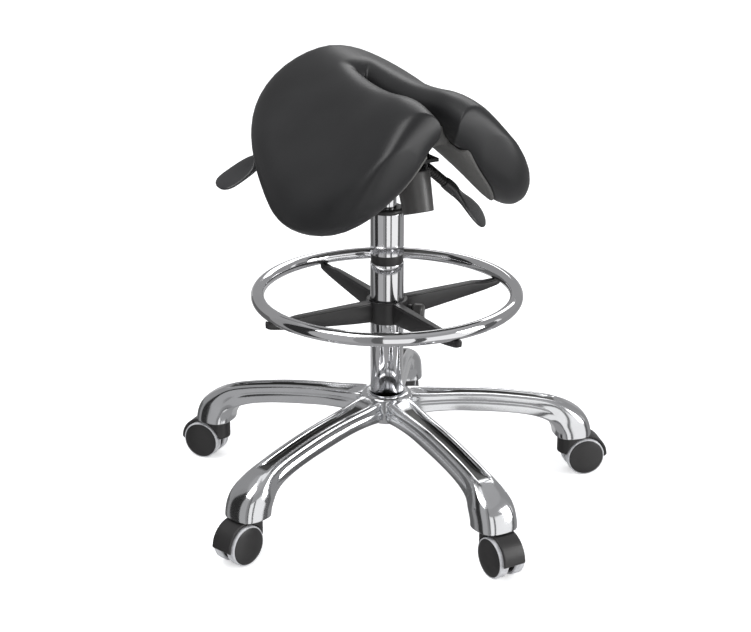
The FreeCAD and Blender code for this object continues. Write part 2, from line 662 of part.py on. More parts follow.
def ring_spider():
    low = spider_low_z()
    top = low + SPIDER_HUB_HEIGHT
    hub = cylinder(SPIDER_HUB_R, V(0, 0, low), V(0, 0, top))
    tip = RING_R + TAB_BEYOND_RING
    seat_z = RING_Z - RING_TUBE_R * 0.6
    side = Part.Face(Part.makePolygon([
        V(0, -SPOKE_ROOT_HALF, low + 1), V(RING_R, -SPOKE_ROOT_HALF, top - SPOKE_TIP_DEPTH),
        V(tip, -SPOKE_ROOT_HALF, top - SPOKE_TIP_DEPTH + 3), V(tip, -SPOKE_ROOT_HALF, seat_z),
        V(RING_R - 2 * RING_TUBE_R, -SPOKE_ROOT_HALF, seat_z),
        V(RING_R - 4 * RING_TUBE_R, -SPOKE_ROOT_HALF, top),
        V(0, -SPOKE_ROOT_HALF, top), V(0, -SPOKE_ROOT_HALF, low + 1),
    ])).extrude(V(0, 2 * SPOKE_ROOT_HALF, 0))
    round_x = tip - SPOKE_TIP_HALF
    plan = Part.Face(Part.makePolygon([
        V(0, -SPOKE_ROOT_HALF, low), V(round_x, -SPOKE_TIP_HALF, low), V(round_x, SPOKE_TIP_HALF, low),
        V(0, SPOKE_ROOT_HALF, low), V(0, -SPOKE_ROOT_HALF, low),
    ])).extrude(V(0, 0, 2 * SPIDER_HUB_HEIGHT))
    round_end = cylinder(SPOKE_TIP_HALF, V(round_x, 0, low), V(round_x, 0, low + 2 * SPIDER_HUB_HEIGHT))
    spoke = side.common(fused(plan, round_end))
    screw_hole = cylinder(RING_SCREW_R, V(RING_R, 0, low), V(RING_R, 0, top))
    sink = cylinder(RING_SCREW_HEAD_R + RUNNING_GAP, V(RING_R, 0, low), V(RING_R, 0, ring_screw_seat_z()))
    spoke = spoke.cut(screw_hole).cut(sink)
    reach = SPIDER_HUB_R + CLAMP_BOSS_LENGTH
    boss = cylinder(CLAMP_BOSS_R, V(0, 0, clamp_height()), V(reach, 0, clamp_height()))
    boss = spun(boss, KNOB_AZIMUTH_DEG)
    body = fused(hub, boss, *around_spokes(spoke))
    body = body.cut(cylinder(COLUMN_R + SLIDING_GAP, V(0, 0, low), V(0, 0, top)))
    screw_path = cylinder(CLAMP_SCREW_R + RUNNING_GAP, V(0, 0, clamp_height()), V(reach, 0, clamp_height()))
    return body.cut(ring_outside()).cut(spun(screw_path, KNOB_AZIMUTH_DEG))


def ring_screws():
    """Socket screws sunk in the spokes' ends."""
    top = RING_Z - RING_TUBE_R + 1.5
    low = ring_screw_seat_z()
    foot = low - RING_SCREW_HEAD
    shank = cylinder(RING_SCREW_R, V(RING_R, 0, low), V(RING_R, 0, top))
    head = cylinder(RING_SCREW_HEAD_R, V(RING_R, 0, foot), V(RING_R, 0, low))
    hexagon = Part.Face(Part.makePolygon([
        V(RING_R + 2.5 * math.cos(math.pi / 3 * i), 2.5 * math.sin(math.pi / 3 * i), foot) for i in range(7)
    ])).extrude(V(0, 0, 0.6 * RING_SCREW_HEAD))
    screw = fused(shank, head).cut(hexagon)
    return Part.makeCompound(around_spokes(screw))


def clamp_screw():
    z = clamp_height()
    start = COLUMN_R + SOFT_GAP + 0.1
    end = SPIDER_HUB_R + CLAMP_BOSS_LENGTH + CLAMP_GRIP_LENGTH
    return spun(cylinder(CLAMP_SCREW_R, V(start, 0, z), V(end, 0, z)), KNOB_AZIMUTH_DEG)


def clamp_knob():
    z = clamp_height()
    start = SPIDER_HUB_R + CLAMP_BOSS_LENGTH + BODY_GAP
    end = start + CLAMP_GRIP_LENGTH
    grip = turned([(0, start), (CLAMP_GRIP_R - 2, start), (CLAMP_GRIP_R, start + 3), (CLAMP_GRIP_R, end - 3),
                   (CLAMP_GRIP_R - 3, end), (0, end)], V(0, 0, z), V(1, 0, 0))
    wing_start = end - CLAMP_WING_THICKNESS
    wing = Part.makeBox(CLAMP_WING_THICKNESS, 2 * CLAMP_WING_HALF, CLAMP_WING_DROP,
                        V(wing_start, -CLAMP_WING_HALF, z - CLAMP_WING_DROP))
    tip = cylinder(CLAMP_WING_HALF, V(wing_start, 0, z - CLAMP_WING_DROP), V(end, 0, z - CLAMP_WING_DROP))
    crown = cylinder(CLAMP_WING_HALF + 2, V(wing_start, 0, z), V(end, 0, z))
    bore = cylinder(CLAMP_SCREW_R, V(0, 0, z), V(SPIDER_HUB_R + CLAMP_BOSS_LENGTH + CLAMP_GRIP_LENGTH, 0, z))
    return spun(fused(grip, wing, tip, crown).cut(bore), KNOB_AZIMUTH_DEG)


# ---------------------------------------------------------------- tilt mechanism
def lean():
    """The tension screw's axis, from the knob up to the seat plate."""
    a = math.radians(TENSION_LEAN_DEG)
    return V(0, math.sin(a), math.cos(a))


def knob_bottom():
    return seat_point(TENSION_KNOB_FORWARD, 0, TENSION_KNOB_Z)


def on_screw(z):
    """The point of the tension screw's axis at height z."""
    return knob_bottom() + lean() * ((z - TENSION_KNOB_Z) / lean().z)


def tilt_pin_centre():
    return seat_point(TILT_PIN_FORWARD, 0, TILT_PIN_Z)


def mechanism_housing():
    floor_top = HOUSING_FLOOR_Z + HOUSING_FLOOR
    floor = seat_box(-HOUSING_BACK, HOUSING_FRONT, -CHEEK_HALF, CHEEK_HALF, HOUSING_FLOOR_Z, floor_top)
    hub = cylinder(TAPER_HUB_R, V(0, 0, taper_low_z()), V(0, 0, floor_top))
    pieces = [hub]
    cheek_top = TILT_PIN_Z - 1.0
    ear_r = 2 * TILT_PIN_R
    for side in (-1, 1):
        inner, outer = side * (CHEEK_HALF - CHEEK_THICKNESS), side * CHEEK_HALF
        right, left = min(inner, outer), max(inner, outer)
        pieces.append(seat_box(-HOUSING_BACK, 0.7 * HOUSING_FRONT, right, left, HOUSING_FLOOR_Z, cheek_top))
        centre = tilt_pin_centre()
        pieces.append(cylinder(ear_r, centre + V(right, 0, 0), centre + V(left, 0, 0)))
    pivot = tilt_lever_pivot()
    end = tilt_lever_inner_end()
    lug_right, lug_left = end.x - 3.0, end.x + 4.0
    lug_half = 3.5 * LEVER_ROD_R
    pieces.append(seat_box(TILT_LEVER_FORWARD - lug_half, TILT_LEVER_FORWARD + lug_half, lug_right, lug_left,
                           end.z - lug_half, HOUSING_FLOOR_Z))
    body = fused(floor, *pieces)
    window_back = TILT_LEVER_FORWARD - 2.2 * LEVER_ROD_R
    window_front = TILT_LEVER_FORWARD + 2.2 * LEVER_ROD_R
    window = seat_box(window_back, window_front, lug_right - 1, pivot.x,
                      end.z - 2 * LEVER_ROD_R, end.z + 2 * LEVER_ROD_R)
    body = body.cut(window)
    bore = cone(CYLINDER_R, CYLINDER_R - CYLINDER_TAPER, taper_low_z(), CYLINDER_TOP_Z)
    body = body.cut(bore)
    body = body.cut(cylinder(TENSION_HOLE_R, on_screw(HOUSING_FLOOR_Z - 9), on_screw(floor_top + 9)))
    centre = tilt_pin_centre()
    across = V(CHEEK_HALF + 1, 0, 0)
    body = body.cut(cylinder(TILT_PIN_R + RUNNING_GAP, centre - across, centre + across))
    window_half = lever_pin_half() + 2
    lever_gap = seat_box(-window_half, window_half, -CHEEK_HALF - 1, -CHEEK_HALF + CHEEK_THICKNESS + 1,
                         HEIGHT_LEVER_Z - LEVER_ROD_R - 9, cheek_top + 2 * ear_r)
    return body.cut(lever_gap)


def seat_plate_low_z():
    return BOARD_BOTTOM_Z - SEAT_PLATE


def seat_screw_places():
    """Forward and sideways places of the screws that hold the plate to the board."""
    ahead, back = 0.8 * SEAT_PLATE_FRONT, -0.8 * SEAT_PLATE_BACK
    out = 0.6 * BOARD_HALF
    return [(f, s * out) for f in (ahead, back) for s in (-1, 1)]


def lever_pin_half():
    """The cross pin reaches through both ears."""
    return LEVER_ROD_R + BODY_GAP + LEVER_EAR


def lever_ear(pivot, wall, side):
    """A lug on the flange's inner face that carries one end of a lever's cross pin."""
    near = LEVER_ROD_R + BODY_GAP
    y = pivot.y + (near if side > 0 else -near - LEVER_EAR)
    low, high = min(pivot.x, wall.x), max(pivot.x, wall.x)
    arm = Part.makeBox(high - low, LEVER_EAR, 2 * LEVER_EAR_R, V(low, y, pivot.z - LEVER_EAR_R))
    eye = cylinder(LEVER_EAR_R, V(pivot.x, y, pivot.z), V(pivot.x, y + LEVER_EAR, pivot.z))
    return fused(arm, eye).common(Part.makeBox(4 * LEVER_EAR_R, LEVER_EAR, 2 * LEVER_EAR_R, V(
        wall.x - (4 * LEVER_EAR_R if wall.x > 0 else 0), y, pivot.z - LEVER_EAR_R)))


def seat_plate():
    low = seat_plate_low_z()
    top = seat_box(-SEAT_PLATE_BACK, SEAT_PLATE_FRONT, -FLANGE_HALF, FLANGE_HALF, low, BOARD_BOTTOM_Z)
    pieces = []
    flange_low = TILT_LEVER_Z - 2 * LEVER_ROD_R
    for side in (-1, 1):
        inner, outer = side * (FLANGE_HALF - FLANGE_THICKNESS), side * FLANGE_HALF
        right, left = min(inner, outer), max(inner, outer)
        bottom = flange_low if side > 0 else TILT_PIN_Z - 4 * TILT_PIN_R
        pieces.append(seat_box(-FLANGE_BACK, FLANGE_FRONT, right, left, bottom, low))
    body = fused(top, *pieces)
    centre = tilt_pin_centre()
    across = V(FLANGE_HALF + 1, 0, 0)
    body = body.cut(cylinder(TILT_PIN_R, centre - across, centre + across))
    body = body.cut(cylinder(TENSION_SCREW_R, on_screw(low - 9), on_screw(BOARD_BOTTOM_Z + 9)))
    inner = FLANGE_HALF - FLANGE_THICKNESS
    for pivot in (height_lever_pivot(), tilt_lever_pivot()):
        out = math.copysign(1.0, pivot.x)
        wall = V(out * inner, pivot.y, pivot.z)
        body = fused(body, *[lever_ear(pivot, wall, s) for s in (-1, 1)])
        hole_r = LEVER_ROD_R + LEVER_HOLE_GAP
        body = body.cut(cylinder(hole_r, wall - V(out * 0.5, 0, 0), wall + V(out * 9, 0, 0)))
        pin_end = V(0, lever_pin_half() + 1, 0)
        body = body.cut(cylinder(LEVER_PIN_R + RUNNING_GAP, pivot - pin_end, pivot + pin_end))
    for forward, left in seat_screw_places():
        foot, top_end = seat_point(forward, left, low), seat_point(forward, left, BOARD_BOTTOM_Z)
        body = body.cut(cylinder(SEAT_SCREW_R, foot, top_end))
    return body


def tilt_pin():
    centre = tilt_pin_centre()
    half = FLANGE_HALF + PIN_HEAD
    shank = cylinder(TILT_PIN_R, centre - V(half, 0, 0), centre + V(half, 0, 0))
    heads = [cylinder(TILT_PIN_R + 2, centre + V(side * FLANGE_HALF, 0, 0), centre + V(side * half, 0, 0))
             for side in (-1, 1)]
    return fused(shank, *heads)


def tension_screw():
    low = knob_bottom() + lean() * (TENSION_KNOB_WALL + BODY_GAP)
    head_r = 1.8 * TENSION_SCREW_R
    high = on_screw(BOARD_BOTTOM_Z + head_r * math.sin(math.radians(TENSION_LEAN_DEG)))
    shank = cylinder(TENSION_SCREW_R, low, high)
    head = cylinder(head_r, high, high + lean() * SCREW_HEAD)
    return fused(shank, head)


def tension_knob():
    r0, r1, wall, length = TENSION_KNOB_BOTTOM_R, TENSION_KNOB_TOP_R, TENSION_KNOB_WALL, TENSION_KNOB_LENGTH
    floor = 2.5 * wall
    outline = [
        (0, 0), (r0 - 2, 0), (r0, 2), (r1, length - 1.5), (r1 - 1, length),
        (r1 - wall, length), (r0 - wall, floor), (0, floor),
    ]
    cup = turned(outline, knob_bottom(), lean())
    bore_r = TENSION_SCREW_R + RUNNING_GAP
    return cup.cut(cylinder(bore_r, knob_bottom() + lean() * wall, knob_bottom() + lean() * length))


def tension_spring():
    low = 2.5 * TENSION_KNOB_WALL + SPRING_WIRE_R + SOFT_GAP
    underside = on_screw(HOUSING_FLOOR_Z)
    lean_room = SPRING_R * math.sin(math.radians(TENSION_LEAN_DEG))
    length = (underside - knob_bottom()).Length - low - SPRING_WIRE_R - lean_room
    helix = Part.makeHelix(length / SPRING_TURNS, length, SPRING_R)
    profile = Part.Wire(Part.makeCircle(SPRING_WIRE_R, V(SPRING_R, 0, 0), V(0, 1, 0)))
    coil = Part.Wire(helix.Edges).makePipeShell([profile], True, True)
    coil.rotate(V(0, 0, 0), V(1, 0, 0), -TENSION_LEAN_DEG)
    return moved(coil, knob_bottom() + lean() * low)


# ---------------------------------------------------------------- levers
def height_lever_pivot():
    return V(-LEVER_PIVOT_OUT, 0, HEIGHT_LEVER_Z)


def height_lever_path():
    """From over the release button, out through the flange, down and back under the right lobe."""
    return [
        V(2, 0, HEIGHT_LEVER_Z), V(-LEVER_PIVOT_OUT - 14, 0, HEIGHT_LEVER_Z),
        seat_point(-22, -62, HEIGHT_LEVER_Z - 42), seat_point(-118, -110, HEIGHT_LEVER_Z - 52),
        seat_point(-134, -134, HEIGHT_LEVER_Z - 53),
    ]


def cross_pin(pivot):
    reach = V(0, lever_pin_half(), 0)
    return cylinder(LEVER_PIN_R, pivot - reach, pivot + reach)


def height_lever_rod():
    rod = bent_rod(LEVER_ROD_R, height_lever_path(), 2 * LEVER_ROD_R)
    return fused(rod, cross_pin(height_lever_pivot()))


def tilt_lever_pivot():
    return seat_point(TILT_LEVER_FORWARD, LEVER_PIVOT_OUT, TILT_LEVER_Z)


def tilt_lever_inner_end():
    return tilt_lever_pivot() - V(11.5, 0, 0)


def tilt_lever_bend():
    """Where the rod turns down, clear of the flange that carries it."""
    return V(FLANGE_HALF + 3.5, 0, 0) + V(0, tilt_lever_pivot().y, tilt_lever_pivot().z)


def tilt_lever_axis():
    a = math.radians(TILT_LEVER_SLOPE_DEG)
    return V(math.cos(a), 0, -math.sin(a))


def tilt_lever_rod():
    bend, axis = tilt_lever_bend(), tilt_lever_axis()
    path = [tilt_lever_inner_end(), bend, bend + axis * (TILT_LEVER_REACH - 10)]
    rod = bent_rod(LEVER_ROD_R, path, 2 * LEVER_ROD_R)
    return fused(rod, cross_pin(tilt_lever_pivot()))


def lever_sleeve():
    """A ribbed grip over the tilt lever's rod."""
    start = TILT_LEVER_REACH - PADDLE_SOCKET_LENGTH - SLEEVE_LENGTH
    step = SLEEVE_LENGTH / SLEEVE_RIBS
    outline = [(LEVER_ROD_R, start)]
    for i in range(SLEEVE_RIBS):
        low = start + i * step
        outline += [(SLEEVE_R, low), (SLEEVE_R, low + 0.6 * step), (SLEEVE_R - SLEEVE_RIB, low + 0.7 * step),
                    (SLEEVE_R - SLEEVE_RIB, low + step)]
    outline.append((LEVER_ROD_R, start + SLEEVE_LENGTH))
    return turned(outline, tilt_lever_bend(), tilt_lever_axis())


def paddle(root, rod_axis, blade_axis, twist_deg, length):
    """A socket round the rod's end and a leaf-shaped blade along blade_axis, twisted front edge down."""
    twist = math.radians(twist_deg)
    across = V(0, -math.cos(twist), -math.sin(twist))
    across = (across - blade_axis * across.dot(blade_axis)).normalize()
    normal = blade_axis.cross(across).normalize()
    half = PADDLE_WIDTH / 2
    start = PADDLE_SOCKET_R * 0.9
    side = [(0, start), (0.25, start + 2), (0.55, half * 0.92), (0.8, half), (0.95, half * 0.72)]
    left = [root + blade_axis * (length * a) + across * w for a, w in side]
    right = [root + blade_axis * (length * a) - across * w for a, w in side]
    tip = root + blade_axis * length
    tip_left, tip_right = tip + across * 0.3 * half, tip - across * 0.3 * half
    outline = [smooth_edge(left + [tip_left]), smooth_edge([tip_right] + right[::-1])]
    outline.append(Part.makeLine(tip_left, tip_right))
    outline.append(Part.makeLine(right[0], left[0]))
    blade = Part.Face(Part.Wire(Part.__sortEdges__(outline))).extrude(normal * PADDLE_THICKNESS)
    blade.translate(normal * (-PADDLE_THICKNESS / 2))
    socket = cylinder(PADDLE_SOCKET_R, root - rod_axis * PADDLE_SOCKET_LENGTH, root)
    cheek = Part.makeSphere(PADDLE_SOCKET_R, root)
    hole = cylinder(LEVER_ROD_R, root - rod_axis * PADDLE_SOCKET_LENGTH, root - rod_axis * 10)
    return fused(socket, cheek, blade).cut(hole)


def tilt_lever_paddle():
    a = math.radians(TILT_LEVER_SLOPE_DEG + PADDLE_DROOP_DEG)
    root = tilt_lever_bend() + tilt_lever_axis() * TILT_LEVER_REACH
    return paddle(root, tilt_lever_axis(), V(math.cos(a), 0, -math.sin(a)), PADDLE_TWIST_DEG, PADDLE_LENGTH)


def height_lever_paddle():
    path = height_lever_path()
    along = (path[-1] - path[-2]).normalize()
    a = math.radians(HEIGHT_PADDLE_SLOPE_DEG)
    blade = V(-math.cos(a), 0, -math.sin(a))
    return paddle(path[-1] + along * 10, along, blade, HEIGHT_PADDLE_TWIST_DEG, HEIGHT_PADDLE_LENGTH)


# ---------------------------------------------------------------- seat
RIDGE = cubic([-220, -130, -20, 90, 190],
              [BOARD_BOTTOM_Z + rise for rise in (RIDGE_BACK_RISE, RIDGE_BACK_RISE - RIDGE_BACK_DIP,
                                                  RIDGE_MID_RISE, RIDGE_MID_RISE, RIDGE_FRONT_RISE)])
OUTLINE_KNOTS = [0, 0.18, 0.40, 0.62, 0.80, 0.92, 1.0]
OUTLINE_FORWARD = cubic(OUTLINE_KNOTS, [
    -BACK_REACH, -0.915 * BACK_REACH, -0.53 * BACK_REACH, -0.08 * FRONT_REACH,
    0.42 * FRONT_REACH, 0.935 * FRONT_REACH, FRONT_REACH])
OUTLINE_LEFT = cubic(OUTLINE_KNOTS, [
    0, 0.52 * SEAT_HALF_WIDTH, 0.875 * SEAT_HALF_WIDTH, SEAT_HALF_WIDTH,
    0.952 * SEAT_HALF_WIDTH, 0.666 * SEAT_HALF_WIDTH, 0.31 * SEAT_HALF_WIDTH])


def saddle_z(forward, left):
    """Mid-height of the saddle: a ridge that falls away to both sides."""
    share = min(1.0, max(0.0, (forward + 150) / 280))
    share = share * share * (3 - 2 * share)
    steep = BACK_STEEPNESS + (FRONT_STEEPNESS - BACK_STEEPNESS) * share
    flat = BACK_FLATNESS + (FRONT_FLATNESS - BACK_FLATNESS) * share
    fall = steep * (math.hypot(left, flat) - flat)
    pommel = POMMEL_RISE * math.exp(-((forward - 120) / 53) ** 2 - ((abs(left) - 37) / 47) ** 2)
    return RIDGE(forward) - fall + pommel


def rounding(distance):
    return math.sqrt(max(0.0, 1 - (1 - min(1.0, distance / EDGE_ROUND)) ** 2))


def saddle_section(u, inset, top_side, first, last, count):
    """Points from the slot's edge to the rim at station u: 0 at the cantle, 1 at the nose.

    top_side is 1 for the seating face and -1 for the underside; first and last are the
    distances left out at the slot and at the rim.
    """
    outer = V(OUTLINE_FORWARD(u), OUTLINE_LEFT(u), 0)
    v = max(0.0, (u - 0.15) / 0.85)
    inner = V(SLOT_END + (FRONT_REACH - 4 - SLOT_END) * v ** 1.25,
              4 * min(1.0, u / 0.15) + (SLOT_FRONT_HALF - 4) * v ** 1.6, 0)
    run = outer - inner
    length = run.Length
    run.normalize()
    nose = max(0.0, (1 - u)) * 420
    points = []
    for i in range(count):
        share = 0.5 - 0.5 * math.cos(math.pi * i / (count - 1))
        d = first + (length - first - last) * share
        place = inner + run * d
        z = saddle_z(place.x, place.y)
        step = run * 0.5
        slope = saddle_z(place.x + step.x, place.y + step.y) - saddle_z(place.x - step.x, place.y - step.y)
        scale = math.hypot(1, slope)
        half = CUSHION_THICKNESS / 2 * min(rounding(d), rounding(length - d), rounding(nose + 1.5))
        offset = top_side * (half + inset)
        place = place - run * (slope / scale * offset)
        points.append(seat_point(place.x, place.y, z + offset / scale))
    return points


CUSHION_STATIONS = [0, 0.06, 0.12, 0.2, 0.3, 0.42, 0.54, 0.66, 0.76, 0.84, 0.9, 0.945, 0.975, 0.992, 1.0]


def board_pocket(gap):
    return seat_box(-BOARD_BACK - gap, BOARD_FRONT + gap, -BOARD_HALF - gap, BOARD_HALF + gap,
                    BOARD_BOTTOM_Z - 60, BOARD_BOTTOM_Z + BOARD_HEIGHT + gap)


def frame_room(gap):
    """Room under the cushion for the plate, the pin's heads and the height lever's bend."""
    high = BOARD_BOTTOM_Z + gap
    wide = FLANGE_HALF + gap
    plate = seat_box(-SEAT_PLATE_BACK - gap, SEAT_PLATE_FRONT + gap, -wide, wide, BOARD_BOTTOM_Z - 60, high)
    pin_half = FLANGE_HALF + PIN_HEAD + BODY_GAP
    head_r = TILT_PIN_R + 2 + BODY_GAP
    pin = seat_box(TILT_PIN_FORWARD - head_r, TILT_PIN_FORWARD + head_r, -pin_half, pin_half,
                   TILT_PIN_Z - 30, TILT_PIN_Z + head_r)
    corner = height_lever_path()[1]
    lever = seat_box(-4 * LEVER_ROD_R, 2.2 * LEVER_ROD_R, corner.x - 3 * LEVER_ROD_R, -FLANGE_HALF,
                     HEIGHT_LEVER_Z - 50, HEIGHT_LEVER_Z + 2 * LEVER_ROD_R)
    return fused(plate, pin, lever)


def seat_cushion():
    loops = []
    for u in CUSHION_STATIONS:
        top = saddle_section(u, 0, 1, 0, 0, 13)
        under = saddle_section(u, 0, -1, 0, 0, 13)
        loops.append(Part.Wire([smooth_edge(top), smooth_edge(under[::-1])]))
    half = Part.makeLoft(loops, True, False)
    both = fused(half, mirrored(half))
    return both.cut(board_pocket(SOFT_GAP)).cut(frame_room(SOFT_GAP))


def seat_board():
    """The stiff spine under the cushion, with room for the tension screw's head."""
    top = BOARD_BOTTOM_Z + BOARD_HEIGHT
    board = seat_box(-BOARD_BACK, BOARD_FRONT, -BOARD_HALF, BOARD_HALF, BOARD_BOTTOM_Z, top)
    head_room = cylinder(2.1 * TENSION_SCREW_R, on_screw(BOARD_BOTTOM_Z - 9), on_screw(BOARD_BOTTOM_Z + 16))
    board = board.cut(head_room)
    for forward, left in seat_screw_places():
        low = seat_point(forward, left, BOARD_BOTTOM_Z)
        board = board.cut(cylinder(SEAT_SCREW_R, low, low + V(0, 0, 18)))
    return board


def seat_screws():
    screws = []
    for forward, left in seat_screw_places():
        low = seat_point(forward, left, seat_plate_low_z())
        shank = cylinder(SEAT_SCREW_R, low, low + V(0, 0, SEAT_PLATE + 16))
        head = cylinder(SEAT_SCREW_HEAD_R, low - V(0, 0, 3), low)
        screws.append(fused(shank, head))
    return Part.makeCompound(screws)


PANEL_STATIONS = [0.035] + CUSHION_STATIONS[1:12]


def underside_panel(side):
    """A lobe's underside cover, a thin curved plate just below the cushion; side 1 is the left."""
    loops = []
    for u in PANEL_STATIONS:
        upper = saddle_section(u, PANEL_GAP, -1, PANEL_INSET, PANEL_INSET, 11)
        lower = saddle_section(u, PANEL_GAP + PANEL_THICKNESS, -1, PANEL_INSET, PANEL_INSET, 11)
        edges = [smooth_edge(upper), Part.makeLine(upper[-1], lower[-1]),
                 smooth_edge(lower[::-1]), Part.makeLine(lower[0], upper[0])]
        loops.append(Part.Wire(edges))
    cover = Part.makeLoft(loops, True, False)
    if side < 0:
        cover = mirrored(cover)
    cover = cover.cut(board_pocket(BODY_GAP)).cut(frame_room(BODY_GAP))
    return max(cover.Solids, key=lambda solid: solid.Volume)


# ---------------------------------------------------------------- all pieces
def build():
    parts = {
        "star_base": star_base(),
        "column_tube": column_tube(),
        "column_bush": column_bush(),
        "thrust_bearing": thrust_bearing(),
        "piston_rod": piston_rod(),
        "rod_clip": rod_clip(),
        "gas_cylinder": gas_cylinder(),
        "release_button": release_button(),
        "foot_ring": foot_ring(),
        "ring_spider": ring_spider(),
        "ring_screws": ring_screws(),
        "clamp_screw": clamp_screw(),
        "clamp_knob": clamp_knob(),
        "mechanism_housing": mechanism_housing(),
        "seat_plate": seat_plate(),
        "tilt_pin": tilt_pin(),
        "tension_screw": tension_screw(),
        "tension_knob": tension_knob(),
        "tension_spring": tension_spring(),
        "height_lever_rod": height_lever_rod(),
        "height_lever_paddle": height_lever_paddle(),
        "tilt_lever_rod": tilt_lever_rod(),
        "tilt_lever_sleeve": lever_sleeve(),
        "tilt_lever_paddle": tilt_lever_paddle(),
        "seat_board": seat_board(),
        "seat_screws": seat_screws(),
        "seat_cushion": seat_cushion(),
        "underside_panel_left": underside_panel(1),
        "underside_panel_right": underside_panel(-1),
    }
    stem = castor_stem()
    parts["castor_stems"] = Part.makeCompound([castor_place(stem, a) for a in leg_angles()])
    castor = {
        "hood": castor_hood(), "axle": castor_axle(),
        "wheel_left": castor_wheel(1), "wheel_right": castor_wheel(-1),
        "tread_left": castor_tread(1), "tread_right": castor_tread(-1),
    }
    for number, angle in enumerate(leg_angles(), start=1):
        for name, shape in castor.items():
            parts[f"castor_{number}_{name}"] = castor_place(shape, angle)
    return parts


def main():
    os.makedirs("parts", exist_ok=True)
    for name, shape in build().items():
        shape.exportStep(f"parts/{name}.step")
        volume = shape.Volume / 1000
        print(f"{name}: {len(shape.Solids)} solid(s), valid {shape.isValid()}, volume {volume:.1f} cm3")


main()
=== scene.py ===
"""Looks of the split-saddle stool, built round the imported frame.

Lengths in the tables below are millimetres; MM turns them to metres.
"""
import json
import math

import bmesh
import bpy
from mathutils import Matrix, Vector


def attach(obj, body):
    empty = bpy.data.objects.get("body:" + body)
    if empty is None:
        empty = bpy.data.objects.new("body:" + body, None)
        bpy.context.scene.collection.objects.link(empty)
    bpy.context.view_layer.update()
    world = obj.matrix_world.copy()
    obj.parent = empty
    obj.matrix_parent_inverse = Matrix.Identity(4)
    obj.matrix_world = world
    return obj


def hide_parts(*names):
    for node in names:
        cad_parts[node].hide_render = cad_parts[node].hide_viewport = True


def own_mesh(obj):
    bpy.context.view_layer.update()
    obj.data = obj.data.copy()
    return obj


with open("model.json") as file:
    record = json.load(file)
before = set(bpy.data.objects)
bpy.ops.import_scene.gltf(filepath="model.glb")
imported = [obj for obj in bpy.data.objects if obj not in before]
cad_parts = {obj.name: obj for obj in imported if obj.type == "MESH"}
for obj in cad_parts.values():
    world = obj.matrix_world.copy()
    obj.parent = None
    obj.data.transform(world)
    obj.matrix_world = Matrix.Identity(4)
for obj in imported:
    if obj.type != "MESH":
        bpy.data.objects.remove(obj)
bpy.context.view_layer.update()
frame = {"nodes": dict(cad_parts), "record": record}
NODES = frame["nodes"]
MM = 0.001
LEG_DEG = [-90 + 72 * i for i in range(5)]
STEM_R = 296.5
COLUMN_R = 25.0
# the camera, the studio and the lamps are turned together, this far round from the stool's front
STUDIO_TURN_DEG = -30.5


# ------------------------------------------------------------ camera and stage
def make_camera():
    """Stands ahead of the rider's right knee and looks down at the stool."""
    turn, pitch, yaw = math.radians(STUDIO_TURN_DEG), math.radians(20.536), -0.007
    distance, height = 2.4479, 1.2019
    level = math.cos(pitch)
    forward = Vector((math.sin(yaw) * level, math.cos(yaw) * level, -math.sin(pitch)))
    right = Vector((math.cos(yaw), -math.sin(yaw), 0))
    up = right.cross(forward)
    basis = Matrix((right, up, -forward)).transposed().to_4x4()
    place = Matrix.Rotation(turn, 4, "Z") @ Matrix.Translation((0, -distance, height)) @ basis
    data = bpy.data.cameras.new("camera")
    data.lens, data.sensor_width = 83.54, 36.0
    camera = bpy.data.objects.new("camera", data)
    camera.matrix_world = place
    bpy.context.scene.collection.objects.link(camera)
    bpy.context.scene.camera = camera
    return camera


def hex_colour(text):
    """An sRGB hex colour as linear red, green, blue and 1."""
    parts = [int(text[i:i + 2], 16) / 255 for i in (0, 2, 4)]
    return tuple(c / 12.92 if c <= 0.04045 else ((c + 0.055) / 1.055) ** 2.4 for c in parts) + (1.0,)


def add(tree, kind, settings=None, **links):
    """One node with its settings, and its inputs as values or as other nodes' outputs; i0 is input 0."""
    item = tree.nodes.new(kind)
    for key, value in (settings or {}).items():
        setattr(item, key, value)
    for key, value in links.items():
        by_number = key[0] == "i" and key[1:].isdigit()
        socket = item.inputs[int(key[1:]) if by_number else key.replace("_", " ")]
        if isinstance(value, bpy.types.NodeSocket):
            tree.links.new(value, socket)
        else:
            socket.default_value = value
    return item


def blank_material(name):
    """A new material with an empty node tree, and that tree."""
    material = bpy.data.materials.new(name)
    material.use_nodes = True
    material.node_tree.nodes.clear()
    return material, material.node_tree


def glow(name, level):
    """A plain grey light source for a studio card."""
    material, tree = blank_material(name)
    light = add(tree, "ShaderNodeEmission", Color=(level, level, level * 1.01, 1), Strength=1.0)
    add(tree, "ShaderNodeOutputMaterial", Surface=light.outputs[0])
    return material


def shaded(mesh, smooth=True):
    """Shades every face smooth, or every face flat."""
    mesh.polygons.foreach_set("use_smooth", [smooth] * len(mesh.polygons))


def object_from(name, verts, faces, smooth=True):
    """A new object in the scene, from corners and faces."""
    mesh = bpy.data.meshes.new(name)
    mesh.from_pydata([tuple(v) for v in verts], [], faces)
    mesh.validate()
    shaded(mesh, smooth)
    item = bpy.data.objects.new(name, mesh)
    bpy.context.scene.collection.objects.link(item)
    return item


def only_in_reflections(card, level):
    """A studio card of one grey level that only glossy surfaces see."""
    card.data.materials.append(glow(card.name + "_glow", level))
    card.visible_camera = card.visible_diffuse = False
    card.visible_shadow = card.visible_transmission = False


def wall_card(name, start, end, low, high, level, radius=3.4):
    """A curved panel of the studio; angles turn to the right from the camera's side."""
    steps = 12
    verts, faces = [], []
    for i in range(steps + 1):
        a = math.radians(STUDIO_TURN_DEG - 90 + start + (end - start) * i / steps)
        for z in (low, high):
            verts.append((radius * math.cos(a), radius * math.sin(a), z))
    for i in range(steps):
        faces.append((2 * i, 2 * i + 2, 2 * i + 3, 2 * i + 1))
    only_in_reflections(object_from(name, verts, faces), level)


